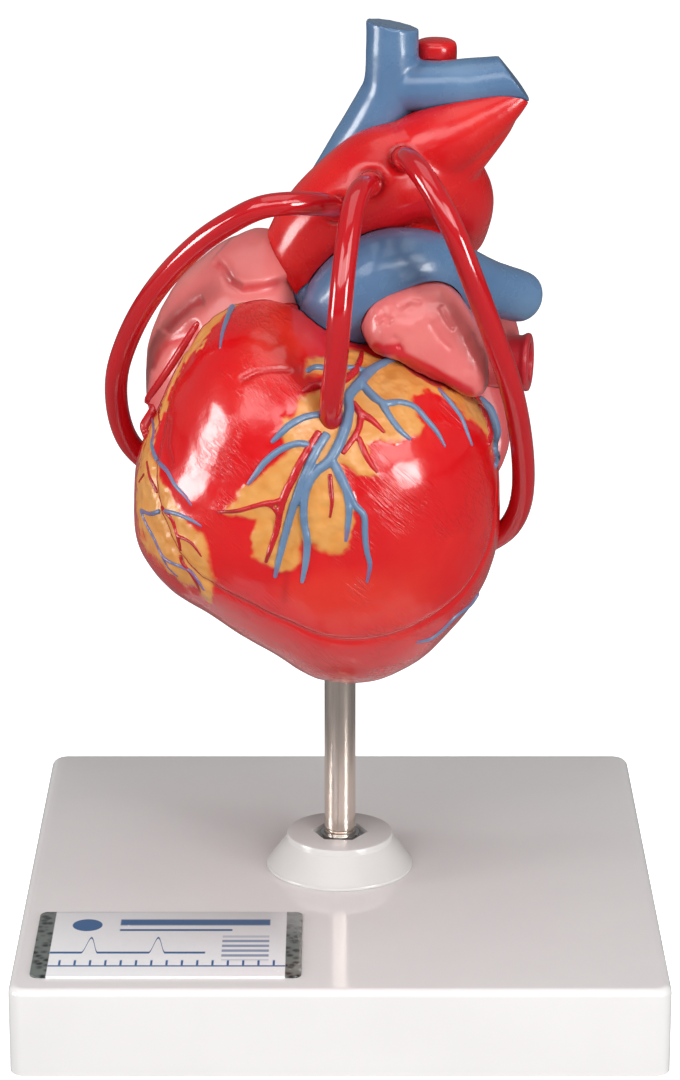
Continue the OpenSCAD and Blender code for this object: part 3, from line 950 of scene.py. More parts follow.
GUIDE_STEEL = TurnedSteel("guide_steel", (0.62, 0.62, 0.63), 0.14, (0.002, 0.002, 0.002))
DARK_STEEL = TurnedSteel("dark_steel", (0.35, 0.34, 0.33), 0.3, (0.002, 0.002, 0.002))
LABEL = LabelPrint("label_print")


# ------------------------------------------------------------------ heart shapes


@dataclass(frozen=True)
class Pillow:
    """Outline in the upright plane that swells to the front and the back."""

    centre: tuple[float, float, float]
    radii: tuple[float, ...]
    front: float
    back: float
    lean: float = 0.0
    fullness: float = 0.85

    def around(self, angle: Points) -> Points:
        """Radius of the outline at angles in radians.

        Args:
            angle: Angles about the middle.

        Returns:
            Radii in millimetres.
        """
        rr = np.array(self.radii)
        s = np.mod(angle, 2 * math.pi) * len(rr) / (2 * math.pi)
        i = np.floor(s).astype(int)
        t = s - i
        return between(*(rr[(i + k) % len(rr)] for k in (-1, 0, 1, 2)), t)

    def shape(self, unit: Points, grow: float = 0.0) -> Points:
        """Moves the points of a ball of radius 1 onto the pillow.

        Args:
            unit: Points of the ball.
            grow: Distance by which the pillow is larger.

        Returns:
            The moved points in millimetres.
        """
        unit = unit / np.linalg.norm(unit, axis=1)[:, None]
        q = unit[:, 2]
        angle = np.arctan2(unit[:, 1], unit[:, 0])
        r = (self.around(angle) + grow) * np.power(np.sqrt(np.clip(1 - q * q, 0, 1)), self.fullness)
        d = np.where(q > 0, self.front + grow, -self.back - grow) * np.power(np.abs(q), 0.95)
        up = r * np.sin(angle)
        cx, cy, cz = self.centre
        return np.stack([cx + r * np.cos(angle), cy - d + self.lean * up, cz + up], axis=1)

    def mesh(self, name: str, level: int, grow: float = 0.0) -> bpy.types.Object:
        """Shapes a ball into the pillow.

        Args:
            name: Name of the object.
            level: Fineness of the ball.
            grow: Distance by which the pillow is larger.

        Returns:
            A closed mesh.
        """
        obj = ball(name, level)
        place_points(obj, self.shape(points_of(obj), grow))
        return obj


VENTRICLES = Pillow(
    (-4, 0, 92),
    (
        34.2, 34.5, 35.7, 35.4, 33.5, 32.4, 35.4, 40.4, 40.2, 37, 34.7, 34.9, 34.9, 35.4, 33.6, 31, 30.8,
        32.3, 36.3, 38.2, 37.9, 36.5, 35.9, 35.1,
    ),
    31, 28, -0.12,
)
RIGHT_CHAMBER = Pillow(
    (-20, -4, 97),
    (11, 11.5, 14, 17.5, 18, 15, 11.6, 10.6, 10.8, 12.5, 15, 17, 17, 15, 12.5, 11.5),
    21, 19, -0.1,
)
LEFT_CHAMBER = Pillow(
    (9.5, -2, 91),
    (12, 12.5, 15, 17, 18.5, 17, 14.5, 12, 11, 12, 15, 17, 17, 15.5, 13.5, 12.5),
    21, 18, -0.1,
)
RIGHT_ATRIUM = Pillow(
    (-20, 8, 120),
    (15, 15.5, 19, 21.6, 20, 17, 15.6, 15.4, 16.3, 18.6, 22, 23, 21, 20, 18, 16),
    15, 17,
)
LEFT_ATRIUM = Pillow(
    (14, 21, 116),
    (20.5, 19.5, 18, 16, 15.5, 16, 17, 18, 18, 19, 20, 19, 18, 18, 19, 20.5),
    14, 14,
)
AURICLE = Pillow(
    (18, -10.5, 123.5),
    (
        8.7, 8.3, 8.2, 8.5, 8.8, 9.3, 10.3, 11.4, 12.2, 12.6, 12.9, 13.6, 14.5, 15.1, 14.9, 14.2, 12.3,
        8.4, 6.9, 6.2, 5.8, 5.5, 5.5, 5.7, 6, 6.6, 8.3, 10.7, 12, 11.5, 10.4, 9.5,
    ),
    6, 12, fullness=0.5,
)

ARCH = (
    (-8.6, 12, 118, 8.2), (-8, 9.4, 128, 8.8), (-5.4, 6.2, 138, 9), (1, 4.2, 146.4, 9.5),
    (9.5, 4.4, 152.6, 9.9), (16, 7.6, 151.8, 9.4), (20, 13.5, 146.2, 8.8), (20, 21, 139, 8),
)
BRANCH = (
    (13, 5.8, 155, 8.4), (20, 3.6, 159.8, 6.9), (26, 2.6, 163.4, 5), (30.5, 2, 166.2, 3.4),
    (33.4, 1.6, 168, 1.9),
)
ARCH_WEB = (
    (12, 6.5, 151, 8.5), (19, 6, 154.5, 7.2), (24, 5, 157.6, 4.6), (28.6, 3.6, 162.4, 3.2),
    (32, 2.4, 166.6, 1.8),
)
NECK_STUB = ((16.8, 11, 154, 4), (17.5, 12, 165, 4), (17.8, 12, 175.8, 3.9))
UPPER_CAVA = (
    (9.6, 8, 184, 5), (9.5, 8, 171, 4.9), (8, 9, 164.5, 5.5), (3.4, 11, 156.6, 5.4),
    (-1.6, 13, 148.6, 4.9), (-6.2, 14, 140.8, 4.9), (-9.6, 14, 133, 5.2),
)
ARM = (
    (9.6, 8.4, 168, 4.4), (14.4, 7, 168.7, 4.8), (20, 5.4, 169.3, 4.6), (26.5, 4.2, 170.2, 4.4),
    (34, 3, 171.2, 4.6), (39, 2.4, 171.8, 4.6),
)
TRUNK = (
    (-1, 7, 117, 7.8), (-0.4, 2, 124, 8.2), (2, -3, 130.6, 8.3), (7.4, -5.6, 136.2, 7.9),
    (14.2, -4.4, 137.4, 7.1), (21, 0, 134.6, 6), (28, 6, 130.8, 5.2), (34, 11, 127.8, 4.9),
)
TRUNK_WEDGE = ((-10.4, 3.4, 130.6, 1.2), (-7.4, 2.2, 131, 2.6), (-4, 0.6, 130.6, 4.6), (0, -1, 129.6, 6.6))
ARCH_PLUG = ((8, 7, 143, 4.6), (13, 8, 143.4, 5.2), (18, 11, 142, 5))
LOWER_CAVA = ((-21, 17, 111, 5.4), (-21, 23, 103, 5.4), (-21, 28, 95, 5.2), (-21, 30.5, 86, 5.2))
BYPASS_R = 2.15
LEFT_BYPASS = (
    (-0.4, -1.5, 147.4), (-0.6, -7, 148.6), (-3, -14.5, 151.2), (-9, -18.5, 152.3), (-14.4, -19, 151.6),
    (-19.8, -17, 148.5), (-25.4, -14, 144), (-31.1, -10, 137.6), (-36, -5, 130.1), (-39.7, 0, 122.1),
    (-41.9, 3, 114.6), (-42.1, 7, 106.6), (-40.4, 10, 99.8), (-36.6, 12, 95), (-31.5, 12.5, 92.5),
)
MIDDLE_BYPASS = (
    (5.5, -2, 153.2), (5.5, -7, 153.2), (5.3, -13.5, 154.6), (3.6, -19.5, 154.7), (2.1, -24.5, 151.5),
    (0.9, -29, 144.4), (0, -31.4, 135.8), (-0.7, -30.6, 126.3), (-1.5, -28.6, 119), (-1.8, -25, 112.8),
    (-2, -21, 107.6),
)
RIGHT_BYPASS = (
    (11.5, -1, 157), (11.7, -7, 158), (12.4, -13, 159.2), (14.2, -18, 158.2), (17.2, -21.5, 154.2),
    (20.6, -23.5, 147.7), (24.2, -23, 138.4), (28.1, -20, 127.4), (31.7, -15, 115.7), (33.9, -8, 103.1),
    (34.3, -2, 92.5), (32.5, 3, 85.2), (28.6, 6, 81), (24, 8, 79),
)

SEAM_AT = (0.0, -26.5, 67.5)
SEAM_LEAN = (0.2, 0.5)
SEAM_BACK = -3.0
VEIN_STUBS = (
    ((28, 13, 114.8), (36.2, 11.5, 114.8), 5.1),
    ((24, 26, 105), (31.5, 29, 103), 4.6),
    ((4, 28, 121), (-5, 33, 124), 4.6),
    ((4, 28, 109), (-5, 33, 107), 4.6),
)
LEFT_LOBE = (
    (25, 17, 110, 7), (28, 12.5, 104.5, 4.8), (29.3, 9.5, 100.6, 3.0), (29, 8, 97, 2.1),
    (28.6, 7.2, 94.4, 1.3),
)
VALVES = (((-18, 3, 112.5), 22.0), ((10, 9, 106.5), 16.0))
VALVE_LEAN = math.radians(-30)
PIN_SPOTS = ((-17, 122), (-6.5, 81.5), (21.5, 110.5))


def seam_y(x: Any, z: Any) -> Any:
    """Depth of the seam between the front and the rear wall."""
    sloping = SEAM_AT[1] + SEAM_LEAN[0] * x + SEAM_LEAN[1] * (z - SEAM_AT[2])
    return np.minimum(SEAM_BACK, sloping)


def front_blocks(shift: float) -> list[bpy.types.Object]:
    """Two boxes that share the space of the front wall, moved back by a shift.

    Args:
        shift: Distance in millimetres.

    Returns:
        An upright box and a sloping one.
    """
    long = math.sqrt(1 + SEAM_LEAN[0] ** 2 + SEAM_LEAN[1] ** 2)
    turn = (-math.asin(SEAM_LEAN[1] / long), 0, math.atan(SEAM_LEAN[0]))
    upright = block("upright", (-100, -100, 0), (100, SEAM_BACK + shift, 200))
    sloping = block("sloping", (-150, -150, -150), (150, shift, 150), turn, SEAM_AT)
    return [upright, sloping]


def auricle_prism(grow: float, front: float) -> bpy.types.Object:
    """Upright prism round the outline of the auricle.

    Args:
        grow: Room round the auricle.
        front: How far forwards it reaches.

    Returns:
        A closed mesh.
    """
    bpy.ops.mesh.primitive_cylinder_add(vertices=72, radius=1, depth=1)
    obj = fresh("auricle_prism")
    p = points_of(obj)
    angle = np.arctan2(p[:, 1], p[:, 0])
    r = AURICLE.around(angle) + grow
    y = np.where(p[:, 2] > 0, -front, 60.0)
    cx, _, cz = AURICLE.centre
    place_points(obj, np.stack([cx + r * np.cos(angle), y, cz + r * np.sin(angle)], axis=1))
    return obj


def valve_way(index: int) -> bpy.types.Object:
    """Round way of one valve through the walls.

    Args:
        index: Number of the valve.

    Returns:
        A round bar.
    """
    place, reach = VALVES[index]
    axis = Vector((0, -math.sin(VALVE_LEAN), math.cos(VALVE_LEAN)))
    start = Vector(place) - axis * 8
    return round_bar("valve_way", start, start + axis * (reach + 8), 7.05)


def vessel_tube(name: str, path: Sequence[Row], grow: float = 0.0, steps: int = 8, sides: int = 48,
                start: float = 0.0, end: float = 0.0) -> bpy.types.Object:
    """Tube through the rows of a path, all its radii larger by grow.

    Args:
        name: Name of the object.
        path: Places and radii to pass through.
        grow: Growth of the radii.
        steps: Steps between two rows.
        sides: Faces round the tube.
        start: Length by which the first end is rounded.
        end: Length by which the other end is rounded.

    Returns:
        A closed mesh.
    """
    rows = curve_through(path, steps)
    rows[:, 3] += grow
    return tube(name, rows, sides, start, end)


def bypass_tube(name: str, path: Sequence[Row], grow: float = 0.0, sides: int = 40) -> bpy.types.Object:
    """Bypass vessel along a path, its radius larger by grow."""
    return vessel_tube(name, [(*p, BYPASS_R) for p in path], grow, 8, sides)


# ------------------------------------------------------------------ what the photograph shows on the heart
# Corners are pixel columns and rows of the photograph; a third value is half the width in millimetres.

FAT_MIDDLE = (
    (348, 350), (366, 352), (380, 357), (395, 360), (410, 368), (428, 378), (446, 388), (462, 396),
    (478, 400), (488, 408), (495, 425), (498, 447), (492, 452), (487, 436), (480, 424), (470, 418),
    (460, 408), (450, 400), (438, 392), (424, 390), (413, 394), (411, 402), (417, 412), (422, 425),
    (418, 437), (402, 440), (385, 442), (373, 440), (366, 445), (370, 460), (377, 474), (368, 478),
    (352, 470), (343, 465), (346, 480), (352, 495), (357, 510), (352, 524), (350, 540), (345, 550),
    (332, 552), (315, 543), (303, 540), (299, 560), (292, 569), (280, 572), (268, 566), (254, 558),
    (250, 545), (255, 530), (257, 518), (232, 516), (224, 511), (238, 500), (244, 490), (258, 478),
    (272, 467), (290, 450), (284, 444), (279, 434), (283, 422), (291, 415), (298, 404), (306, 396),
    (316, 392), (330, 385), (338, 365),
)
FAT_SPOT = ((310, 358), (326, 355), (333, 366), (330, 372), (306, 374))
FAT_SIDE = (
    (153, 416), (148, 430), (142, 445), (138, 457), (134, 475), (133, 490), (134, 505), (137, 524),
    (143, 540), (150, 554), (160, 565), (169, 572), (180, 580), (192, 588), (202, 598), (210, 604),
    (214, 602), (213, 590), (212, 577), (211, 565), (209, 554), (206, 544), (201, 535), (190, 525),
    (180, 515), (176, 505), (168, 492), (162, 478), (158, 465), (152, 452), (150, 440), (153, 425),
)
FAT_LINE = (
    (272, 290), (256, 293), (240, 299), (228, 307), (212, 322), (196, 344), (183, 362), (171, 381),
    (165, 396), (159, 412), (154, 428), (149, 445),
)
MIDDLE_GROOVE = ((328, 385), (322, 415), (314, 445), (304, 480), (296, 520), (288, 560), (284, 600))
CREASES = (
    ((243, 379), (255, 373), (268, 370), (282, 369), (298, 371)),
    ((168, 420), (166, 445), (172, 470)),
)
# Spots of painted highlight: middle and width and height, in pixels.
PAINTED_HIGHLIGHT_SPOTS = (((285, 333), (32, 30)), ((345, 600), (70, 26)))

FRONT_VEINS = (
    (
        (393, 359, 0.7), (381, 364, 0.95), (370, 371, 1.1), (360, 382, 1.15), (349, 396, 1.1),
        (349, 410, 1.05), (346, 425, 1.1), (340, 442, 1.1), (330, 460, 1.05), (317, 471, 0.95),
        (308, 485, 0.85), (304, 502, 0.8), (304, 520, 0.75), (307, 540, 0.75), (306, 560, 0.65),
        (302, 582, 0.35),
    ),
    (
        (327, 434, 0.9), (317, 450, 0.95), (307, 470, 0.95), (299, 490, 0.9), (292, 510, 0.85),
        (286, 532, 0.75), (280, 555, 0.65), (275, 577, 0.35),
    ),
    ((321, 414, 0.6), (305, 417, 0.65), (290, 425, 0.7), (280, 434, 0.6), (272, 442, 0.35)),
    (
        (314, 447, 0.6), (305, 444, 0.65), (295, 444, 0.65), (280, 450, 0.65), (265, 462, 0.6),
        (255, 475, 0.5), (248, 484, 0.3),
    ),
    (
        (332, 460, 0.8), (340, 475, 0.95), (347, 490, 0.85), (355, 505, 0.7), (364, 516, 0.65),
        (365, 535, 0.6), (367, 552, 0.5), (370, 565, 0.45), (367, 582, 0.25),
    ),
    ((346, 490, 0.7), (349, 508, 0.65), (348, 525, 0.55), (346, 541, 0.3)),
    (
        (362, 383, 0.8), (372, 395, 0.95), (384, 403, 0.8), (400, 402, 0.7), (415, 407, 0.65),
        (427, 420, 0.6), (437, 432, 0.5), (445, 446, 0.25),
    ),
    ((381, 402, 0.8), (390, 417, 0.7), (400, 430, 0.6), (410, 439, 0.35)),
    ((307, 371, 0.45), (315, 367, 0.55), (330, 368, 0.6), (346, 367, 0.6), (364, 370, 0.6)),
    ((439, 389, 0.35), (450, 402, 0.55), (461, 417, 0.5), (467, 432, 0.45), (472, 445, 0.25)),
    ((240, 297, 0.55), (232, 307, 0.65), (226, 322, 0.55), (222, 335, 0.4), (220, 348, 0.2)),
)
FRONT_ARTERIES = (
    (
        (319, 432, 0.7), (312, 443, 0.75), (302, 460, 0.75), (292, 480, 0.75), (284, 497, 0.75),
        (280, 512, 0.65), (276, 532, 0.6), (271, 547, 0.5), (266, 562, 0.3),
    ),
    (
        (285, 499, 0.7), (277, 502, 0.6), (268, 503, 0.55), (255, 506, 0.45), (237, 511, 0.4),
        (218, 512, 0.2),
    ),
    ((262, 504, 0.3), (272, 507, 0.35), (279, 516, 0.4)),
    ((354, 402, 0.45), (360, 412, 0.8), (372, 420, 0.65), (384, 432, 0.3)),
    ((361, 414, 0.7), (359, 428, 0.6), (352, 440, 0.6), (343, 453, 0.45)),
    ((359, 438, 0.5), (366, 455, 0.6), (372, 465, 0.5), (377, 472, 0.25)),
    ((330, 475, 0.4), (331, 490, 0.45), (332, 502, 0.35), (330, 517, 0.2)),
    (
        (303, 391, 0.5), (314, 386, 0.95), (330, 382, 1.0), (344, 379, 0.95), (354, 372, 0.8),
        (360, 361, 0.6), (362, 352, 0.4),
    ),
)
SIDE_VEINS = (
    (
        (151, 412, 0.3), (154, 430, 0.35), (152, 445, 0.4), (157, 460, 0.45), (167, 471, 0.45),
        (175, 485, 0.4), (185, 496, 0.35), (191, 505, 0.2),
    ),
    (
        (141, 510, 0.3), (150, 514, 0.4), (162, 511, 0.45), (177, 514, 0.4), (191, 520, 0.35),
        (201, 526, 0.2),
    ),
    (
        (141, 511, 0.3), (147, 525, 0.35), (155, 540, 0.35), (162, 555, 0.35), (170, 562, 0.35),
        (182, 567, 0.35), (192, 573, 0.35), (204, 590, 0.2),
    ),
    ((162, 556, 0.25), (168, 567, 0.25), (177, 576, 0.2)),
    (
        (417, 642, 0.3), (430, 639, 0.45), (442, 630, 0.5), (455, 617, 0.5), (470, 605, 0.5),
        (478, 594, 0.4),
    ),
    (
        (480, 398, 0.7), (484, 402, 0.95), (490, 408, 1.0), (496, 416, 1.1), (499, 427, 1.1),
        (496, 437, 1.0), (494, 448, 1.0), (497, 457, 0.9), (495, 466, 0.6),
    ),
)
SIDE_ARTERIES = (
    (
        (147, 462, 0.25), (150, 477, 0.35), (157, 492, 0.35), (162, 507, 0.4), (172, 520, 0.4),
        (177, 535, 0.4), (180, 547, 0.35), (182, 562, 0.35), (192, 575, 0.35), (200, 591, 0.2),
    ),
    ((178, 536, 0.3), (190, 542, 0.3), (197, 550, 0.25), (201, 556, 0.15)),
    ((162, 404, 0.2), (159, 412, 0.3), (160, 424, 0.2)),
    ((139, 482, 0.2), (144, 474, 0.2)),
    ((479, 406, 0.6), (484, 413, 0.9), (488, 425, 0.95), (490, 436, 0.9), (488, 445, 0.6)),
)
RIGHT_CORONARY = (
    (198, 323, 0.55), (192, 332, 0.85), (184, 345, 0.9), (170, 367, 0.9), (157, 386, 0.9),
    (148, 399, 0.9), (146, 408, 0.9), (146, 417, 1.2), (145, 426, 1.35), (147, 436, 1.0),
)
ATRIUM_LOBE = (
    (281, 229), (296, 238), (304, 252), (303, 267), (288, 280), (266, 287), (243, 290), (230, 282),
    (222, 268), (214, 258), (232, 240), (255, 228),
)
ATRIUM_CREASES = (
    ((212, 261), (223, 268), (231, 283), (243, 290), (266, 288), (288, 281)),
    ((148, 372), (156, 355), (166, 343), (184, 335), (200, 322)),
    ((163, 333), (175, 318), (190, 305), (205, 300)),
)
AURICLE_CREASES = (
    (
        (369, 343), (382, 351), (398, 349), (402, 357), (416, 364), (432, 372), (450, 382), (466, 391),
        (478, 396),
    ),
    ((398, 308), (410, 300), (422, 302)),
    ((376, 322), (384, 318), (392, 323)),
    ((440, 305), (446, 318), (455, 330)),
    ((430, 322), (441, 340), (452, 350)),
    ((392, 336), (400, 342), (398, 349)),
)

BACK_GROOVE = ((-6, 22, 112), (-4, 26.5, 100), (-2, 28, 88), (-3, 25, 76), (-6, 19, 66))
BACK_VEINS = (
    ((-8, 104, 0.9), (-6, 96, 1.1), (-4.5, 88, 1.0), (-5.5, 78, 0.8), (-9, 68, 0.5)),
    ((10, 103, 0.7), (13, 94, 0.85), (13.5, 85, 0.7), (11, 75, 0.4)),
)
BACK_ARTERIES = (
    ((-10.5, 103, 0.7), (-8.8, 95, 0.8), (-7.6, 87, 0.75), (-8.6, 78, 0.6), (-12, 70, 0.35)),
    ((21, 100, 0.6), (23, 92, 0.7), (22, 84, 0.55), (19, 77, 0.3)),
    ((-26, 92, 0.6), (-28, 84, 0.6), (-26, 76, 0.35)),
)


def soften_seam(points: Points) -> Points:
    """Gives how far the edges of both walls are rounded away at their seam."""
    off = points[:, 1] - seam_y(points[:, 0], points[:, 2])
    return -0.42 * bell(off, 0.95) * (points[:, 1] < 12)


def deep(obj: bpy.types.Object, routes: Sequence[Sequence[Row]], depth: float, width: float) -> Points:
    """Presses lines of the photograph into a surface.

    Args:
        obj: Mesh in millimetres.
        routes: Lines in pixels.
        depth: How deep they are pressed, in millimetres.
        width: Their half width in pixels.

    Returns:
        How near each vertex is to a line, from 0 to 1.
    """
    points, normals, spots, seen = in_photo(obj)
    near = np.zeros(len(points))
    for route in routes:
        gap, along = route_distance(spots, route)
        near = np.maximum(near, bell(gap, width) * ease(-0.02, 0.08, along) * (1 - ease(0.9, 1.02, along)))
    near *= seen
    place_points(obj, points - normals * (near * depth)[:, None])
    return near


def lump(obj: bpy.types.Object, seed: int, *layers: tuple[float, float]) -> None:
    """Makes a surface slightly uneven.

    Args:
        obj: Mesh in millimetres.
        seed: Start of the random numbers.
        *layers: Size and height of each layer of lumps.
    """
    points, normals = points_of(obj), normals_of(obj)
    lift = sum(height * Lumps(seed + k).at(points, size) for k, (size, height) in enumerate(layers))
    place_points(obj, points + normals * lift[:, None])


def tree_of(obj: bpy.types.Object) -> BVHTree:
    """Search tree of a mesh in millimetres, to lay vessels on it."""
    return BVHTree.FromPolygons(points_of(obj).tolist(), [tuple(p.vertices) for p in obj.data.polygons])


def hand_over(obj: bpy.types.Object, body: Body, finish: Finish | None, nodes: Sequence[str] = (),
              angle: float = 40.0) -> bpy.types.Object:
    """Brings a finished piece to size and fixes it to its body.

    Args:
        obj: Mesh in millimetres.
        body: Body that it moves with.
        finish: Its finish, or None if its materials are already in place.
        nodes: CAD nodes that it stands for.
        angle: Edges sharper than this stay sharp, in degrees.

    Returns:
        The piece.
    """
    obj.data.transform(Matrix.Scale(MM, 4))
    if finish is not None:
        obj.data.materials.clear()
        obj.data.materials.append(finish.make())
    only(obj)
    bpy.ops.object.shade_smooth_by_angle(angle=math.radians(angle))
    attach(obj, body.value)
    if nodes:
        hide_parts(*nodes)
    LOG.info("%s: %d faces on %s", obj.name, len(obj.data.polygons), body.value)
    return obj


def dress(node: str, finish: Finish) -> None:
    """Gives a CAD node its finish.

    Args:
        node: Name of the node.
        finish: Finish for all its slots.
    """
    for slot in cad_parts[node].material_slots:
        slot.material = finish.make()
    LOG.info("%s keeps its CAD shape", node)


def cutters(*tools: bpy.types.Object) -> list[bpy.types.Object]:
    """Gives cutting tools the finish of cut walls.

    Args:
        *tools: Closed meshes to cut with.

    Returns:
        The same meshes.
    """
    for tool in tools:
        tool.data.materials.clear()
        tool.data.materials.append(CUT_RED.make())
    return list(tools)


def in_photo(obj: bpy.types.Object) -> tuple[Points, Points, Points, Points]:
    """Looks at a mesh as the camera of the photograph does.

    Args:
        obj: Mesh in millimetres.

    Returns:
        Its points and normals, their pixels and how much each faces the camera.
    """
    points, normals = points_of(obj), normals_of(obj)
    return points, normals, VIEW.to_pixel(points), VIEW.facing(points, normals)


@dataclass
class HeartWalls:
    """Front and rear wall of the ventricles, with their chambers."""

    front_level: int = 8
    rear_level: int = 8
    chamber_level: int = 6
    lobe_height: float = 0.3
    groove_depth: float = 1.1
    crease_depth: float = 0.4
    vessel_bed: float = 0.14
    tube_play: float = 0.05
    pin_hole: float = 1.25
    sleeve_hole: float = 2.05
    socket_hole: float = 4.65
    rear_share: float = 0.62
    skins: dict[str, BVHTree] = field(default_factory=dict)
    room: bpy.types.Object | None = None

    def outer(self, name: str, level: int) -> bpy.types.Object:
        """Outer skin of both walls with its grooves, fat and seam edges.

        Args:
            name: Name of the object.
            level: Fineness of the ball that it starts from.

        Returns:
            A closed mesh.
        """
        obj = VENTRICLES.mesh(name, level)
        points, normals, spots, seen = in_photo(obj)
        gap, along = route_distance(spots, MIDDLE_GROOVE)
        ends = ease(0.0, 0.25, along) * (1 - ease(0.75, 1.0, along))
        lift = -self.groove_depth * bell(gap, 26) * ends * seen
        for route in CREASES:
            gap, along = route_distance(spots, route)
            lift -= self.crease_depth * bell(gap, 3.2) * (1 - ease(0.8, 1.0, along)) * seen
        fat = self.fat(points, spots, seen)
        lobes = Lumps(5).at(points, 1.5) + 0.5 * Lumps(6).at(points, 0.7)
        lift += fat * self.lobe_height * (0.75 + 0.55 * lobes)
        for route in FRONT_VEINS + FRONT_ARTERIES + SIDE_VEINS + SIDE_ARTERIES:
            gap, _ = route_distance(spots, route)
            lift += self.vessel_bed * bell(gap, 6) * seen
        lift += 0.12 * Lumps(8).at(points, 7) + 0.05 * Lumps(9).at(points, 2.2)
        lift += soften_seam(points)
        place_points(obj, points + normals * lift[:, None])
        obj.data.materials.append(HEART_RED.make())
        return obj

    def fat(self, points: Points, spots: Points, seen: Points) -> Points:
        """Tells where the walls are yellow.

        Args:
            points: Places in millimetres.
            spots: The same places in the photograph.
            seen: How much each faces the camera.

        Returns:
            Values from 0 to 1.
        """
        fat = np.zeros(len(points))
        spots = spots + np.stack([4.0 * Lumps(14).at(points, 2.6) + 1.8 * Lumps(15).at(points, 0.9),
                                  4.0 * Lumps(16).at(points, 2.6) + 1.8 * Lumps(17).at(points, 0.9)], axis=1)
        soft = 5.0 + 6.0 * ease(-0.2, 0.6, Lumps(18).at(points, 6))
        for patch in (FAT_MIDDLE, FAT_SPOT, FAT_SIDE):
            fat = np.maximum(fat, ease(-1.0, 1.0, patch_depth(spots, patch) / soft) * seen)
        gap, _ = route_distance(spots, FAT_LINE)
        fat = np.maximum(fat, (1 - ease(2.0, 6.5, gap)) * seen)
        gap, along = route_distance(points, BACK_GROOVE)
        rear = (1 - ease(3.0, 6.0, gap + 1.6 * Lumps(3).at(points, 5))) * (points[:, 1] > 4)
        return np.maximum(fat, rear)

    def paint(self, obj: bpy.types.Object) -> None:
        """Stores the fat mask, the painted highlight and the painted shade of the finished outer skin.

        Args:
            obj: Front or rear wall.
        """
        points, _, spots, seen = in_photo(obj)
        # Painted highlight: warmer red on two spots of the walls.
        warm = np.zeros(len(points))
        for (col, row), (wide, high) in PAINTED_HIGHLIGHT_SPOTS:
            off = ((spots[:, 0] - col) / wide) ** 2 + ((spots[:, 1] - row) / high) ** 2
            warm = np.maximum(warm, np.exp(-off) * seen)
        # Painted shade: darker red along the creases and the middle groove, and a dark line at the seam.
        dark = np.zeros(len(points))
        for route in CREASES + (MIDDLE_GROOVE,):
            gap, _ = route_distance(spots, route)
            dark = np.maximum(dark, 0.5 * bell(gap, 5) * seen)
        off = np.abs(points[:, 1] - seam_y(points[:, 0], points[:, 2]))
        dark = np.maximum(dark, 0.7 * bell(off, 0.5))
        tint(obj, fat=self.fat(points, spots, seen), warm=warm, dark=dark)

    def chamber(self, shape: Pillow, name: str, seed: int) -> bpy.types.Object:
        """Hollow of one chamber with its muscle ridges.

        Args:
            shape: Form of the chamber.
            name: Name of the object.
            seed: Start of the random numbers.

        Returns:
            A closed mesh to cut with.
        """
        obj = shape.mesh(name, self.chamber_level)
        points, normals = points_of(obj), normals_of(obj)
        ridges = np.abs(Lumps(seed).at(points * (1, 1, 0.45), 3.2))
        place_points(obj, points - normals * (0.9 * bell(ridges, 0.22))[:, None])
        obj.data.materials.append(CHAMBER.make())
        return obj

    def hollows(self) -> list[bpy.types.Object]:
        """Everything that is cut out of both walls.

        Returns:
            Closed meshes to cut with.
        """
        chambers = ((RIGHT_CHAMBER, "right_hollow", 21), (LEFT_CHAMBER, "left_hollow", 22))
        hollows = [self.chamber(*chamber) for chamber in chambers]
        rooms = [valve_way(0), valve_way(1), AURICLE.mesh("auricle_room", 6, GAP)]
        rooms.append(vessel_tube("trunk_room", TRUNK, GAP))
        return hollows + cutters(*rooms)

    def build(self) -> None:
        """Makes both walls."""
        front = self.outer("front_heart_wall", self.front_level)
        self.skins["walls"] = tree_of(front)
        self.room = front.copy()
        self.room.data = front.data.copy()
        self.room.name = KEPT_TOOL
        bpy.context.collection.objects.link(self.room)
        place_points(self.room, points_of(self.room) + normals_of(self.room) * 0.08)
        cutters(self.room)
        carve(front, *cutters(*front_blocks(-GAP)), how="INTERSECT")
        holes = [bypass_tube("foot_hole", MIDDLE_BYPASS, self.tube_play), auricle_prism(GAP, 60)]
        holes += [self.pin_bar(x, z, -3.2, 2.8, self.pin_hole) for x, z in PIN_SPOTS]
        carve(front, *self.hollows(), *cutters(*holes))
        self.paint(front)
        hand_over(front, Body.FRONT, None, ["front_wall"])

        rear = self.outer("rear_heart_wall", self.rear_level)
        upright, sloping = front_blocks(0)
        space = carve(upright, sloping, how="INTERSECT")
        carve(space, auricle_prism(0, -AURICLE.centre[1]))
        holes = [space, round_bar("socket_room", (0, 0, 40), (0, 0, 69), self.socket_hole)]
        holes += [bypass_tube("side_hole", path, self.tube_play) for path in (LEFT_BYPASS, RIGHT_BYPASS)]
        holes += [self.pin_bar(x, z, -20, 8, self.sleeve_hole) for x, z in PIN_SPOTS]
        carve(rear, *self.hollows(), *cutters(*holes))
        apply_modifier(rear, "DECIMATE", ratio=self.rear_share)
        self.paint(rear)
        hand_over(rear, Body.HEART, None, ["rear_wall"])

    def pin_bar(self, x: float, z: float, start: float, end: float, radius: float) -> bpy.types.Object:
        """Bar along a locating pin, its ends measured from the seam."""
        y = float(seam_y(x, z))
        return round_bar("pin_bar", (x, y + start, z), (x, y + end, z), radius)


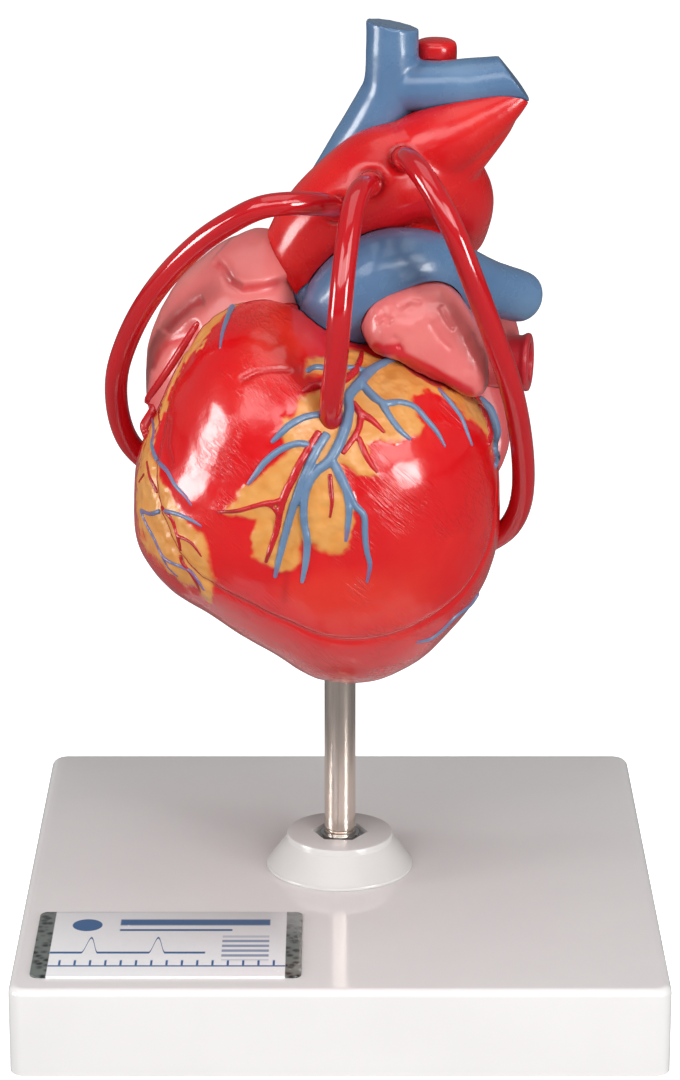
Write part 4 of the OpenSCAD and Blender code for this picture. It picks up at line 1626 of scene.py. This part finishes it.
@dataclass
class Atria:
    """Both atria, the left auricle and the stubs of the lung veins."""

    room: bpy.types.Object
    level: int = 7
    wall: float = 2.6
    vessel_gap: float = 0.18
    skins: dict[str, BVHTree] = field(default_factory=dict)

    def solid(self, name: str, shape: Pillow, finish: Finish) -> bpy.types.Object:
        """Solid pillow in one finish.

        Args:
            name: Name of the object.
            shape: Form of the pillow.
            finish: Its finish.

        Returns:
            A closed mesh.
        """
        obj = shape.mesh(name, self.level)
        obj.data.materials.append(finish.make())
        return obj

    def hollow(self, obj: bpy.types.Object, shape: Pillow, *more: bpy.types.Object) -> None:
        """Cuts the inner hollow, the walls' room and more out of an atrium.

        Args:
            obj: Solid atrium.
            shape: Form of the atrium.
            *more: Other closed meshes to cut with.
        """
        inner = shape.mesh("inner", 6, -self.wall)
        inner.data.materials.append(CHAMBER.make())
        rooms = [self.room, valve_way(0), valve_way(1), vessel_tube("trunk_room", TRUNK, self.vessel_gap)]
        rooms.append(vessel_tube("wedge_room", TRUNK_WEDGE, self.vessel_gap, start=1))
        carve(obj, inner, *cutters(*rooms, *more))

    def right(self) -> bpy.types.Object:
        """Right atrium with the lobe beside the aorta.

        Returns:
            The finished piece.
        """
        obj = self.solid("right_atrium_skin", RIGHT_ATRIUM, PINK)
        points, normals, spots, seen = in_photo(obj)
        lobe = ease(-5, 6, patch_depth(spots, ATRIUM_LOBE)) * seen
        place_points(obj, points + normals * (1.3 * lobe - 0.35)[:, None])
        crease = deep(obj, ATRIUM_CREASES, 0.5, 6.5)
        lump(obj, 31, (6, 0.22), (1.8, 0.05))
        tint(obj, crease=0.55 * crease)
        self.skins["right"] = tree_of(obj)
        self.hollow(obj, RIGHT_ATRIUM)
        return hand_over(obj, Body.HEART, None, ["right_atrium"])

    def left(self) -> bpy.types.Object:
        """Left atrium at the back.

        Returns:
            The finished piece.
        """
        obj = self.solid("left_atrium_skin", LEFT_ATRIUM, DEEP_PINK)
        lobe = vessel_tube("lobe", LEFT_LOBE, start=1, end=1)
        lobe.data.materials.append(DEEP_PINK.make())
        carve(obj, lobe, how="UNION")
        lump(obj, 41, (8, 0.3), (2.2, 0.06))
        tint(obj, crease=np.zeros(len(obj.data.vertices)))
        stubs = [round_bar("stub_room", a, b, r + 0.05) for a, b, r in VEIN_STUBS]
        self.hollow(obj, LEFT_ATRIUM, RIGHT_ATRIUM.mesh("room", 6, GAP), *stubs,
                    vessel_tube("arch_room", ARCH, GAP, end=5))
        return hand_over(obj, Body.HEART, None, ["left_atrium"])

    def auricle(self) -> bpy.types.Object:
        """Left auricle with its folds.

        Returns:
            The finished piece.
        """
        obj = self.solid("left_auricle_skin", AURICLE, PINK)
        edge = deep(obj, AURICLE_CREASES[:1], 0.1, 7)
        folds = deep(obj, AURICLE_CREASES[1:], 0.35, 3.4)
        lump(obj, 51, (4, 0.25), (1.3, 0.08))
        tint(obj, crease=np.maximum(0.3 * folds, edge))
        return hand_over(obj, Body.HEART, None, ["left_auricle"])

    def stubs(self) -> None:
        """Four open stubs with a soft thick rim."""
        parts = []
        for start, end, radius in VEIN_STUBS:
            a, b = Vector(start), Vector(end)
            long, inner = (b - a).length, radius - 1.5
            profile = [(0, 0), (radius, 0), (radius, long - 1.8), (radius + 0.15, long - 1.4)]
            profile += [(radius + 0.42, long - 1.0), (radius + 0.5, long - 0.6), (radius + 0.35, long - 0.2)]
            profile += [(radius - 0.1, long), (inner + 0.35, long), (inner + 0.08, long - 0.15)]
            profile += [(inner, long - 0.5), (inner, 1.2), (0, 1.2)]
            part = lathe("stub", profile, 64)
            part.data.transform(turned_along(a, b, a))
            parts.append(part)
        obj = join("lung_vein_stubs", parts)
        points = points_of(obj)
        inside = np.zeros(len(points))
        for start, end, radius in VEIN_STUBS:
            gap, _ = route_distance(points, (start, end))
            inside = np.maximum(inside, (gap < radius - 1.3) * 1.0)
            inside = np.maximum(inside, 1 - ease(0.5, 1.5, np.linalg.norm(points - end, axis=1) - radius))
        tint(obj, crease=inside)
        hand_over(obj, Body.HEART, DEEP_PINK, ["pulmonary_veins"])

    def build(self) -> None:
        """Makes all four."""
        self.right()
        self.left()
        self.auricle()
        self.stubs()


@dataclass
class GreatVessels:
    """Aorta, both hollow veins and the lung artery."""

    room: bpy.types.Object
    grain: float = 0.42
    trunk_gap: float = 0.16
    vein_gap: float = 0.22

    def cava_solid(self, name: str, grow: float) -> bpy.types.Object:
        """Upper hollow vein and its arm, cut aslant at both open ends.

        Args:
            name: Name of the object.
            grow: Distance by which it is larger.

        Returns:
            A closed mesh.
        """
        parts = [vessel_tube("trunk", UPPER_CAVA, grow), vessel_tube("arm", ARM, grow, start=3)]
        obj = fuse(name, parts, self.grain, 3)
        ends = [block("end", (-20, -20, 0), (20, 20, 20), (0, math.radians(10), 0), (10, 8, 180 + grow)),
                block("end", (0, -30, -30), (60, 30, 30), (0, math.radians(-36), 0), (29.2 + grow, 3, 174.8))]
        return carve(obj, *ends)

    def aorta(self) -> None:
        """Arch with its branch, its neck stub and the holes of the bypass vessels."""
        parts = [vessel_tube("arch", ARCH, end=5), vessel_tube("branch", BRANCH, end=1),
                 vessel_tube("neck", NECK_STUB, end=1), vessel_tube("web", ARCH_WEB, start=4, end=1),
                 vessel_tube("plug", ARCH_PLUG, start=3, end=3)]
        obj = fuse("aorta_skin", parts, self.grain, 14)
        lump(obj, 61, (7, 0.16), (2.0, 0.035))
        points, normals = points_of(obj), normals_of(obj)
        ring = np.zeros(len(points))
        for path in (LEFT_BYPASS, MIDDLE_BYPASS, RIGHT_BYPASS):
            gap, _ = route_distance(points, path[:3])
            ring = np.maximum(ring, bell(np.maximum(gap - BYPASS_R, 0), 0.9))
        place_points(obj, points - normals * (0.45 * ring)[:, None])
        obj.data.materials.append(VESSEL_WALL.make())
        # Painted shade: the ring round each bypass hole is tinted with the dark second hue.
        tint(obj, crease=ring * 0.75)
        tools = [self.room, RIGHT_ATRIUM.mesh("room", 6, GAP), vessel_tube("room", TRUNK, self.trunk_gap),
                 vessel_tube("room", TRUNK_WEDGE, self.trunk_gap, start=1),
                 self.cava_solid("room", self.vein_gap), vessel_tube("room", ARM, self.vein_gap, start=3)]
        tools += [bypass_tube("room", path, 0.06) for path in (LEFT_BYPASS, MIDDLE_BYPASS, RIGHT_BYPASS)]
        carve(obj, *cutters(*tools))
        hand_over(obj, Body.HEART, None, ["aorta"])

    def veins(self) -> None:
        """Upper and lower hollow vein."""
        obj = self.cava_solid("upper_hollow_vein", 0)
        apply_modifier(obj, "REMESH", mode="VOXEL", voxel_size=self.grain * 0.8)
        apply_modifier(obj, "SMOOTH", factor=0.5, iterations=3)
        lump(obj, 71, (6, 0.14), (1.7, 0.03))
        obj.data.materials.clear()
        obj.data.materials.append(BLUE.make())
        # Painted shade in the inner corner of the arm.
        tint(obj, crease=self.painted_corner_shade(obj))
        carve(obj, *cutters(RIGHT_ATRIUM.mesh("room", 6, GAP)))
        hand_over(obj, Body.HEART, None, ["superior_vena_cava"])
        low = vessel_tube("lower_hollow_vein", LOWER_CAVA, end=1)
        low.data.materials.append(BLUE.make())
        tint(low, crease=np.zeros(len(low.data.vertices)))
        carve(low, *cutters(self.room, RIGHT_ATRIUM.mesh("room", 6, GAP)))
        hand_over(low, Body.HEART, None, ["inferior_vena_cava"])

    def painted_corner_shade(self, obj: bpy.types.Object) -> Points:
        """Painted shade: darkens the inner corner where the arm leaves the upper hollow vein."""
        gap, _ = route_distance(points_of(obj), ((13.4, 4, 165), (14.6, 4, 173.5)))
        return 0.5 * bell(gap, 2.6)

    def trunk(self) -> None:
        """Lung artery that crosses in front of the aorta."""
        parts = [vessel_tube("trunk", TRUNK, end=3.5), vessel_tube("wedge", TRUNK_WEDGE, start=1)]
        obj = fuse("lung_artery_skin", parts, self.grain, 6)
        lump(obj, 81, (7, 0.18), (2.0, 0.04))
        obj.data.materials.append(BLUE.make())
        tint(obj, crease=np.zeros(len(obj.data.vertices)))
        carve(obj, *cutters(self.room, AURICLE.mesh("room", 6, 0.2)))
        hand_over(obj, Body.HEART, None, ["pulmonary_trunk"])

    def build(self) -> None:
        """Makes all four."""
        self.aorta()
        self.veins()
        self.trunk()


@dataclass
class SmallVessels:
    """Bypass vessels and the coronary vessels in relief.

    Attributes:
        walls: Skin of both heart walls.
        atrium: Skin of the right atrium.
        grain: Size of the faces of the melted vessels, in millimetres.
        share: Share of the half width in the tables that a vessel gets.
        extra: What is added to it, in millimetres.
        sunk: Share of its half width by which a vessel is sunk into the wall.
        back_sunk: The same on the back.
        edge_lift: How far a vessel may stand off where the wall turns away from the camera.
        seam_margin: Distance at which a vessel ends before the seam.
        sight: Distances from the camera at which a missed wall is looked for.
    """

    walls: BVHTree
    atrium: BVHTree
    grain: float = 0.17
    share: float = 0.92
    extra: float = 0.1
    sunk: float = 0.25
    back_sunk: float = 0.22
    edge_lift: float = 0.9
    seam_margin: float = 0.35
    sight: range = range(680, 800, 4)

    def bypasses(self) -> None:
        """Three smooth plastic tubes."""
        for name, path, body in (
            ("left_bypass", LEFT_BYPASS, Body.HEART),
            ("right_bypass", RIGHT_BYPASS, Body.HEART),
            ("middle_bypass", MIDDLE_BYPASS, Body.FRONT),
        ):
            rows = curve_through([(*p, BYPASS_R) for p in path], 16)
            hand_over(tube(name + "_tube", rows, 56), body, BYPASS_RED, [name], 80)

    def on_wall(self, route: Sequence[Row], atrium: bool = False) -> list[Row]:
        """Puts a line of the photograph onto the wall.

        Args:
            route: Pixel columns, rows and half widths in millimetres.
            atrium: Whether the line may also lie on the right atrium.

        Returns:
            Places and radii.
        """
        rows = []
        for col, row, half in curve_through(route, 5) * (1, 1, self.share) + (0, 0, self.extra):
            start, way = VIEW.ray(col, row)
            hits = [self.walls.ray_cast(start, way)] + ([self.atrium.ray_cast(start, way)] if atrium else [])
            hit, normal, _, _ = min(hits, key=lambda h: h[3] if h[0] is not None else 1e9)
            if hit is None:
                beside = [start + way * reach for reach in self.sight]
                near = [self.walls.find_nearest(spot) for spot in beside]
                hit, normal, _, away = min(near, key=lambda h: h[3])
                hit += normal * min(away, self.edge_lift)
            rows.append((*(hit - normal * (self.sunk * half)), half))
        return rows

    def on_back(self, route: Sequence[Row]) -> list[Row]:
        """Puts a line given by x, z and half width onto the back of the wall.

        Args:
            route: Places and half widths in millimetres.

        Returns:
            Places and radii.
        """
        rows = []
        for x, z, half in curve_through(route, 5):
            hit, normal, _, _ = self.walls.ray_cast(Vector((x, 80, z)), Vector((0, -1, 0)))
            if hit is not None:
                rows.append((*(hit - normal * (self.back_sunk * half)), half))
        return rows

    def parted(self, routes: Sequence[Sequence[Row]], front: bool) -> list[list[Row]]:
        """Lays lines on the walls and keeps what lies on one side of their seam.

        Args:
            routes: Lines of the photograph.
            front: Whether to keep what lies on the front wall.

        Returns:
            The kept lines.
        """
        runs: list[list[Row]] = []
        for route in routes:
            runs.append([])
            for row in self.on_wall(route):
                ahead = float(seam_y(row[0], row[2])) - row[1]
                if (ahead if front else -ahead) > self.seam_margin:
                    runs[-1].append(row)
                elif runs[-1]:
                    runs.append([])
        return runs

    def melt(self, name: str, lines: Sequence[list[Row]], body: Body, finish: Finish,
             node: str = "") -> None:
        """Melts lines into one piece and hands it over.

        Args:
            name: Name of the piece.
            lines: Places and radii of each line.
            body: Body that it moves with.
            finish: Its finish.
            node: CAD node that it stands for.
        """
        parts = [tube("line", np.array(rows), 12, 0.3, 0.3) for rows in lines if len(rows) > 2]
        obj = fuse(name, parts, self.grain, 3)
        rows = [row for line in lines for row in line]
        finder = KDTree(len(rows))
        for index, row in enumerate(rows):
            finder.insert(row[:3], index)
        finder.balance()
        points = points_of(obj)
        near = np.array([rows[finder.find(point)[1]][3] for point in points])
        tint(obj, crease=(1 - ease(0.3, 0.75, near)) * (0.75 + 0.5 * Lumps(91).at(points, 2.5)))
        hand_over(obj, body, finish, [node] if node else (), 180)

    def build(self) -> None:
        """Makes all of them."""
        self.bypasses()
        wall = self.on_wall
        veins = [wall(r) for r in FRONT_VEINS] + self.parted(SIDE_VEINS, True)
        self.melt("front_veins", veins, Body.FRONT, CORONARY_BLUE, "cardiac_veins")
        arteries = [wall(r) for r in FRONT_ARTERIES] + self.parted(SIDE_ARTERIES, True)
        self.melt("front_arteries", arteries, Body.FRONT, CORONARY_RED, "coronary_arteries")
        veins = self.parted(SIDE_VEINS, False) + [self.on_back(r) for r in BACK_VEINS]
        self.melt("side_veins", veins, Body.HEART, CORONARY_BLUE)
        arteries = self.parted(SIDE_ARTERIES, False) + [self.on_back(r) for r in BACK_ARTERIES]
        arteries.append(wall(RIGHT_CORONARY, True))
        self.melt("side_arteries", arteries, Body.HEART, CORONARY_RED)


# ------------------------------------------------------------------ stand


@dataclass
class Stand:
    """Square base, collar, label and rod."""

    width: float = 120.0
    height: float = 16.9
    corner: float = 3.2
    edge: float = 1.5
    wall: float = 2.8
    boss: float = 14.2
    bore: float = 3.5
    recess: float = 7.7
    recess_top: float = 13.1
    collar_rise: float = 6.9
    hex_width: float = 9.4
    hex_turn: float = math.radians(26)
    label_corner: float = 1.6

    def rounded_block(self, name: str, half: float, low: float, high: float, corner: float,
                      top: float) -> bpy.types.Object:
        """Square block with round upright corners and a round top edge.

        Args:
            name: Name of the object.
            half: Half its width.
            low: Height of its underside.
            high: Height of its top.
            corner: Radius of the upright corners.
            top: Radius of the top edge.

        Returns:
            A closed mesh.
        """
        obj = block(name, (-half, -half, low), (half, half, high))
        round_edges(obj, rises, width=corner, segments=12)
        round_edges(obj, lambda a, b: min(a.z, b.z) > high - 0.01, width=top, segments=8)
        return obj

    def base(self) -> None:
        """Hollow base with its boss."""
        obj = self.rounded_block("base_skin", self.width / 2, 0, self.height, self.corner, self.edge)
        inner = self.width / 2 - self.wall - 0.1
        carve(obj, self.rounded_block("hollow", inner, -5, self.height - self.wall, 1.2, 0.6))
        carve(obj, round_bar("boss", (0, 0, 6), (0, 0, self.height - 0.5), self.boss, 96), how="UNION")
        carve(obj, round_bar("hole", (0, 0, -5), (0, 0, 40), self.bore),
              round_bar("room", (0, 0, -5), (0, 0, self.recess_top), self.recess, 96))
        hand_over(obj, Body.STAND, STAND_WHITE, ["base_shell"])

    def collar(self) -> None:
        """Collar with the hexagonal hole of the guide."""
        low = self.height
        flange = ((13.9, 0), (14.15, 0.12), (14.2, 0.4), (14.12, 0.68), (13.8, 0.9))
        neck = ((11.2, 4.6), (10.55, 5.25), (10.28, 5.6), (10.25, 5.9), (10.25, 6.45), (10.12, 6.76))
        outline = ((self.bore, 0), *flange, *neck, (9.8, self.collar_rise), (self.bore, self.collar_rise))
        profile = [(radius, low + rise) for radius, rise in outline]
        obj = lathe("collar_skin", profile, 128)
        hexagon = round_bar("hexagon", (0, 0, low + 0.8), (0, 0, low + 12), self.hex_width / math.sqrt(3), 6)
        hexagon.data.transform(Matrix.Rotation(self.hex_turn, 4, "Z"))
        carve(obj, hexagon)
        hand_over(obj, Body.STAND, COLLAR_WHITE, ["stand_collar"], 30)

    def label(self) -> None:
        """Thin plate with round corners."""
        obj = block("label_skin", LABEL_LOW, LABEL_HIGH)
        round_edges(obj, rises, width=self.label_corner, segments=8)
        apply_modifier(obj, "BEVEL", width=0.08, segments=2, limit_method="ANGLE")
        hand_over(obj, Body.STAND, LABEL, ["label_plate"], 30)

    def build(self) -> None:
        """Makes the stand and dresses its metal."""
        self.base()
        self.collar()
        self.label()
        dress("hex_guide", GUIDE_STEEL)
        dress("washer", GUIDE_STEEL)
        dress("stand_rod", ROD_STEEL)
        dress("rod_clip", DARK_STEEL)


@dataclass
class InnerParts:
    """Small pieces inside the heart that keep their CAD shapes."""

    def build(self) -> None:
        """Dresses them."""
        for finish, nodes in (
            (SLEEVE_GREY, ("rod_socket", "pin_sleeves")),
            (DARK_STEEL, ("locating_pins",)),
            (VALVE, ("tricuspid_valve", "mitral_valve")),
            (MUSCLE, ("papillary_muscles",)),
        ):
            for node in nodes:
                dress(node, finish)


# ------------------------------------------------------------------ studio


@dataclass(frozen=True)
class SoftBox:
    """Rectangular lamp, its place and size in metres and its power in watts."""

    name: str
    place: Row
    size: Row
    power: float


SOFT_BOXES = (
    SoftBox("left_box", (-0.99, -0.25, 0.17), (0.36, 0.34), 5.8),
    SoftBox("right_box", (0.74, -0.72, 0.17), (0.32, 0.34), 5.6),
    SoftBox("left_high_box", (-0.62, -0.84, 0.72), (0.6, 0.5), 3.6),
    SoftBox("right_high_box", (0.62, -0.84, 0.72), (0.6, 0.5), 3.6),
    SoftBox("front_box", (0.1, -1.25, 0.75), (1.1, 0.4), 4.7),
    SoftBox("top_box", (0.0, -0.15, 1.1), (0.9, 0.9), 3.0),
)


@dataclass
class Studio:
    """Floor, lamps, surroundings and the camera of the photograph."""

    floor: Colour = (0.80, 0.80, 0.80)
    dim_floor: Colour = (0.28, 0.28, 0.28)
    sky: float = 0.12
    mirror_sky: float = 0.22
    glow: float = 0.9
    aim: tuple[float, float, float] = (0.0, 0.0, 0.09)
    film_width: float = 36.0

    def build(self) -> None:
        """Sets everything up."""
        self.ground()
        self.surroundings()
        for box in SOFT_BOXES:
            self.lamp(box)
        self.camera()
        bpy.context.scene.view_settings.view_transform = "Standard"

    def ground(self) -> None:
        """Large pale floor that is white to the camera where it isn't shaded."""
        bpy.ops.mesh.primitive_plane_add(size=80)
        obj = fresh("floor")
        bench = PaintBench("floor_paper")
        cloud = bench.grain(3, 2)
        seen = bench.node("ShaderNodeLightPath", {}, "Is Camera Ray")
        obj.data.materials.append(bench.close(
            Base_Color=bench.blend(seen + cloud * 0.02, self.dim_floor, self.floor),
            Roughness=0.9,
            Specular_IOR_Level=0.0,
            Emission_Color=(1.0, 1.0, 1.0),
            Emission_Strength=seen * self.glow,
        ))

    def surroundings(self) -> None:
        """Grey light all round, white to the camera and to mirrors."""
        world = bpy.data.worlds.new("studio_air")
        bpy.context.scene.world = world
        world.use_nodes = True
        tree = world.node_tree
        tree.nodes.clear()
        rays = tree.nodes.new("ShaderNodeLightPath")
        out = tree.nodes.new("ShaderNodeOutputWorld")
        light = None
        for ray, strength in (("", self.sky), ("Is Glossy Ray", self.mirror_sky), ("Is Camera Ray", 1.0)):
            air = tree.nodes.new("ShaderNodeBackground")
            air.inputs["Color"].default_value = (1, 1, 1, 1)
            air.inputs["Strength"].default_value = strength
            if light is None:
                light = air
                continue
            mix = tree.nodes.new("ShaderNodeMixShader")
            tree.links.new(rays.outputs[ray], mix.inputs[0])
            tree.links.new(light.outputs[0], mix.inputs[1])
            tree.links.new(air.outputs[0], mix.inputs[2])
            light = mix
        tree.links.new(light.outputs[0], out.inputs["Surface"])

    def lamp(self, box: SoftBox) -> None:
        """Adds a lamp that looks at the heart.

        Args:
            box: The lamp.
        """
        bpy.ops.object.light_add(type="AREA", location=box.place)
        obj = bpy.context.object
        obj.name = box.name
        obj.data.shape = "RECTANGLE"
        obj.data.size, obj.data.size_y = box.size
        obj.data.energy = box.power
        obj.rotation_euler = (Vector(self.aim) - Vector(box.place)).to_track_quat("-Z", "Y").to_euler()

    def camera(self) -> None:
        """Puts the camera where the photograph was taken from."""
        x, y, z = (v * MM for v in VIEW.place)
        bpy.ops.object.camera_add(location=(x, y, z), rotation=(math.pi / 2 - VIEW.pitch, 0, 0))
        obj = bpy.context.object
        obj.name = "photo_camera"
        obj.data.lens = VIEW.focal / VIEW.height * self.film_width
        obj.data.clip_start = 0.01
        bpy.context.scene.camera = obj


def main() -> None:
    """Builds the whole picture."""
    logging.basicConfig(level=logging.INFO, format="%(name)s: %(message)s")
    walls = HeartWalls()
    walls.build()
    atria = Atria(walls.room)
    atria.build()
    GreatVessels(walls.room).build()
    bpy.data.objects.remove(walls.room)
    SmallVessels(walls.skins["walls"], atria.skins["right"]).build()
    Stand().build()
    InnerParts().build()
    Studio().build()


if __name__ == "__main__":
    main()
